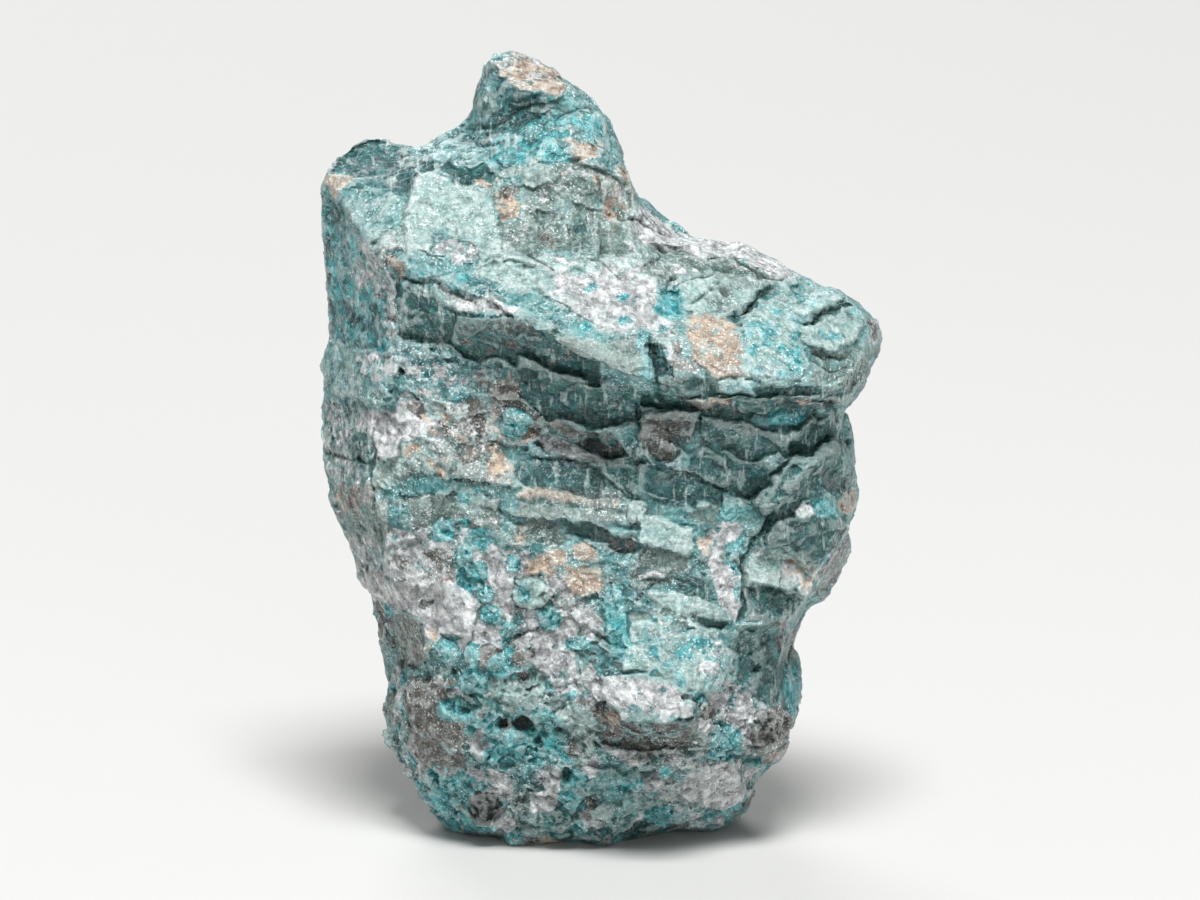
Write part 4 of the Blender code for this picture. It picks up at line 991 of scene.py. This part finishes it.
def cells(tree, places, size):
    """Makes the cells of a cleaved or grainy surface, of a size in millimetres, each with its own shade."""
    return node_of(tree, "ShaderNodeTexVoronoi", {"Vector": places, "Scale": 1.0 / size}).outputs["Color"]


def measured(tree, name):
    """Reads a value that the stone's skin carries."""
    return node_of(tree, "ShaderNodeAttribute", attribute_name=name).outputs["Fac"]


def colour(code):
    """Turns a colour code such as 66A8A3 into the red, green and blue of light."""
    parts = [int(code[place:place + 2], 16) / 255 for place in (0, 2, 4)]
    light = [part / 12.92 if part <= 0.04045 else ((part + 0.055) / 1.055) ** 2.4 for part in parts]
    return (*light, 1.0)


def stone_colour(tree, places):
    """Lays the minerals over each other, and gives where each of them is."""
    swell = eased(tree, speckle(tree, places, BASE_SWELL, 3.0), 0.4, 0.6)
    base = blended(tree, swell, *(colour(code) for code in SHADES["teal"]))
    masks = {}
    for name in MINERALS:
        own = speckle(tree, places, OWN_SPECKS[name], 6.0, 0.68)
        ragged = {0: own, 1: RAGGEDNESS, 2: -RAGGEDNESS / 2}
        ragged = node_of(tree, "ShaderNodeMath", ragged, operation="MULTIPLY_ADD").outputs[0]
        level = worked_out(tree, "ADD", measured(tree, name), ragged)
        masks[name] = eased(tree, level, *(GRADED_EDGE if name in FELDSPARS else CUT_EDGE))
        swell = eased(tree, speckle(tree, places, SHADE_SWELL, 3.0), 0.38, 0.62)
        shade = blended(tree, swell, *(colour(code) for code in SHADES[name]))
        base = blended(tree, masks[name], base, shade)
    return base, masks


def thin_lines(tree, places, size, width, start):
    """Draws thin wandering lines, 1 on the line and 0 off it."""
    moved = node_of(tree, "ShaderNodeVectorMath", {0: places, 1: start}, operation="ADD").outputs[0]
    off_line = worked_out(tree, "SUBTRACT", speckle(tree, moved, size, 4.0, 0.6), 0.5)
    off_line = worked_out(tree, "ABSOLUTE", off_line, 0.0)
    broken = eased(tree, speckle(tree, moved, 4.0, 2.0), 0.45, 0.55)
    return product(tree, eased(tree, off_line, width, 0.0), broken)


def mark_and_shade_shares(tree, places, masks, flakes):
    """Tells how much of the surface each mark over the minerals takes, the streaks aside, painted shade among
    them.
    """
    hollow, in_quartz = measured(tree, "hollow"), eased(tree, masks["quartz"], 0.0, 1.0, 0.5, 0.25)
    glittering = eased(tree, measured(tree, "glitter"), 0.3, 1.0, 0.4, 0.9)
    bare = worked_out(tree, "MAXIMUM", product(tree, masks["deep"], 0.6), masks["mica"])
    sugar_grains = eased(tree, speckle(tree, places, MARKS_AND_SHADE["sugar"][1], 2.0), 0.58, 0.64)
    sugar_share = eased(tree, speckle(tree, places, SUGAR_SWELL, 3.0), 0.4, 0.62, 0.2, 0.95)
    specks = eased(tree, speckle(tree, places, MARKS_AND_SHADE["pepper"][1], 3.0), 0.36, 0.29)
    return {
        "vein": product(tree, thin_lines(tree, flakes, MARKS_AND_SHADE["vein"][1], 0.025, (0, 0, 0)), glittering),
        "split": product(tree, thin_lines(tree, flakes, MARKS_AND_SHADE["split"][1], 0.014, (40, 0, 0)), 0.6),
        "sugar": product(tree, sugar_grains, sugar_share, worked_out(tree, "SUBTRACT", 1.0, bare)),
        "pepper": product(tree, specks, 0.6),
        "worn edge": product(tree, eased(tree, hollow, -0.03, -0.3), 0.3),
        # Painted shade in the hollows, darker where they are deeper, half as strong in quartz
        "hollow": product(tree, eased(tree, hollow, 0.03, 0.5), in_quartz),
        # Painted shade in the depths of the drawn cracks and pits
        "crack_and_pit_shade": product(tree, eased(tree, measured(tree, "crack_and_pit_shade"), 0.5, 0.9), 0.6),
    }


def marks_and_painted_shade(tree, places, base, masks, streaks, flakes):
    """Lays the white streaks, the toned grains, the other marks and painted shade over the colour."""
    crumbly = measured(tree, "crumbly")
    on_cleaved = worked_out(tree, "SUBTRACT", 1.0, crumbly)
    on_deep = eased(tree, masks["deep"], 0.0, 1.0, 0.3, 0.6)
    streaked = product(tree, eased(tree, streaks, 0.56, 0.64), on_cleaved, on_deep)
    base = blended(tree, streaked, base, colour(MARKS_AND_SHADE["streak"][0]))
    grainy = worked_out(tree, "MAXIMUM", eased(tree, crumbly, 0.0, 0.6, 0.3, 0.9), masks["quartz"])
    grain_tone = product(tree, eased(tree, cells(tree, places, TONED_GRAIN), 0.1, 0.9, -0.3, 0.3), grainy)
    base = toned(tree, base, worked_out(tree, "ADD", grain_tone, 1.0))
    for name, share in mark_and_shade_shares(tree, places, masks, flakes).items():
        base = blended(tree, share, base, colour(MARKS_AND_SHADE[name][0]))
    # The last tone is painted shade: random fine dark and light that stands in for the small shadows of the
    # relief
    return toned(tree, base, eased(tree, speckle(tree, places, FINE_SHADE_SWELL, 5.0, 0.7), 0.3, 0.7, 0.72, 1.14))


def surface_normal(tree, places, streaks, flakes):
    """Works flakes and grains into the shading; gives the surface's lie and where glassy facets glint."""
    grain_depth = eased(tree, measured(tree, "crumbly"), 0.0, 0.8, 0.4, 1.0)
    rough = product(tree, speckle(tree, places, ROUGH_GRAIN, 5.0, 0.7), grain_depth)
    height = worked_out(tree, "ADD", rough, product(tree, streaks, 0.4),
                        product(tree, cells(tree, flakes, WIDE_FLAKE), 0.6),
                        product(tree, cells(tree, flakes, NEAR_FLAKE), 0.4))
    relief = {"Height": height, "Strength": 0.9, "Distance": BUMP_DEPTH}
    bump = node_of(tree, "ShaderNodeBump", relief).outputs[0]
    facets = cells(tree, places, FACET)
    middle = (0.5, 0.5, 0.3)
    tilt = node_of(tree, "ShaderNodeVectorMath", {0: facets, 1: middle}, operation="SUBTRACT").outputs[0]
    glassy = product(tree, eased(tree, facets, 0.58, 0.62), measured(tree, "glitter"))
    lean = eased(tree, glassy, 0.0, 1.0, 0.2, 1.3)
    spread = node_of(tree, "ShaderNodeVectorMath", {0: tilt, "Scale": lean}, operation="SCALE").outputs[0]
    leaned = node_of(tree, "ShaderNodeVectorMath", {0: bump, 1: spread}, operation="ADD").outputs[0]
    return node_of(tree, "ShaderNodeVectorMath", {0: leaned}, operation="NORMALIZE").outputs[0], glassy


def turned(tree, places, turn, stretch):
    """Turns and stretches places."""
    inputs = {"Vector": places, "Rotation": turn, "Scale": stretch}
    return node_of(tree, "ShaderNodeMapping", inputs).outputs[0]


def amazonite_material():
    """Makes the feldspar and quartz of the stone."""
    material = bpy.data.materials.new("amazonite")
    material.use_nodes = True
    tree = material.node_tree
    tree.nodes.clear()
    object_places = node_of(tree, "ShaderNodeTexCoord").outputs["Object"]
    places = turned(tree, object_places, (0, 0, 0), (1 / MM, 1 / MM, 1 / MM))
    streak_places = turned(tree, places, STREAK_TURN, STREAK_STRETCH)
    flakes = turned(tree, places, FLAKE_TURN, FLAKE_STRETCH)
    streaks = speckle(tree, streak_places, MARKS_AND_SHADE["streak"][1], 4.0, 0.6)
    base, masks = stone_colour(tree, places)
    base = marks_and_painted_shade(tree, places, base, masks, streaks, flakes)
    normal, glassy = surface_normal(tree, places, streaks, flakes)
    dull = eased(tree, speckle(tree, places, DULL_SWELL, 3.0), 0.3, 0.7, SHINIEST, DULLEST)
    clear = eased(tree, worked_out(tree, "MAXIMUM", masks["smoky"], masks["cyan"]), 0.0, 1.0, 1.0, 0.6)
    roughness = product(tree, dull, clear, eased(tree, glassy, 0.0, 1.0, 1.0, 0.3))
    inputs = {"Base Color": base, "Roughness": roughness, "Normal": normal, **STONE_BODY}
    shader = node_of(tree, "ShaderNodeBsdfPrincipled", inputs)
    node_of(tree, "ShaderNodeOutputMaterial", {"Surface": shader.outputs[0]})
    return material


def floor_material():
    """Makes the plain matt finish of the floor."""
    material = bpy.data.materials.new("floor_pale")
    material.use_nodes = True
    shader = material.node_tree.nodes["Principled BSDF"]
    shader.inputs["Base Color"].default_value = colour(FLOOR_SHADE)
    shader.inputs["Roughness"].default_value = FLOOR_ROUGHNESS
    return material


def pale_floor():
    """Lays the wide pale floor under the stone."""
    sheet = bmesh.new()
    bmesh.ops.create_grid(sheet, x_segments=1, y_segments=1, size=FLOOR_HALF)
    mesh = bpy.data.meshes.new("floor")
    sheet.to_mesh(mesh)
    sheet.free()
    floor = bpy.data.objects.new("floor", mesh)
    bpy.context.scene.collection.objects.link(floor)
    mesh.materials.append(floor_material())
    return floor


def soft_light(name, place, size, power):
    """Hangs a large soft light that looks at the stone."""
    light = bpy.data.lights.new(name, "AREA")
    light.size = size
    light.energy = power
    thing = bpy.data.objects.new(name, light)
    bpy.context.scene.collection.objects.link(thing)
    thing.location = place
    thing.rotation_euler = (Vector(LIGHTS_AIM) - Vector(place)).to_track_quat("-Z", "Y").to_euler()


def studio():
    """Lights the stone from above, with a weak fill from the front and one from behind."""
    for name, (place, size, power) in LIGHTS.items():
        soft_light(name, place, size, power)
    world = bpy.data.worlds.new("pale_room")
    world.use_nodes = True
    glow = world.node_tree.nodes["Background"]
    glow.inputs["Color"].default_value = (1.0, 1.0, 1.0, 1.0)
    glow.inputs["Strength"].default_value = ROOM_GLOW
    bpy.context.scene.world = world


def camera_of_photo():
    """Sets the camera where the photographer stood."""
    camera = bpy.data.objects.new("camera", bpy.data.cameras.new("camera"))
    camera.data.lens = LENS
    camera.data.sensor_width = SENSOR
    camera.data.clip_end = SIGHT
    distance = FRAME_WIDTH * LENS / SENSOR * MM
    aim = Vector((-DRAWING_SHIFT[0], -DRAWING_SHIFT[1], FRAME_MIDDLE / math.cos(EYE_TILT))) * MM
    camera.location = aim + Vector(TOWARDS_EYE) * distance
    camera.rotation_euler = (math.radians(90) - EYE_TILT, 0, 0)
    bpy.context.scene.collection.objects.link(camera)
    bpy.context.scene.camera = camera


stone = fine_skin(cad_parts["rough_amazonite"])
rough_relief(stone)
thinned(stone)
stone.data.materials.clear()
stone.data.materials.append(amazonite_material())
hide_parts("rough_amazonite")
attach(stone, "root")
pale_floor()
studio()
camera_of_photo()
bpy.context.scene.view_settings.view_transform = "Standard"
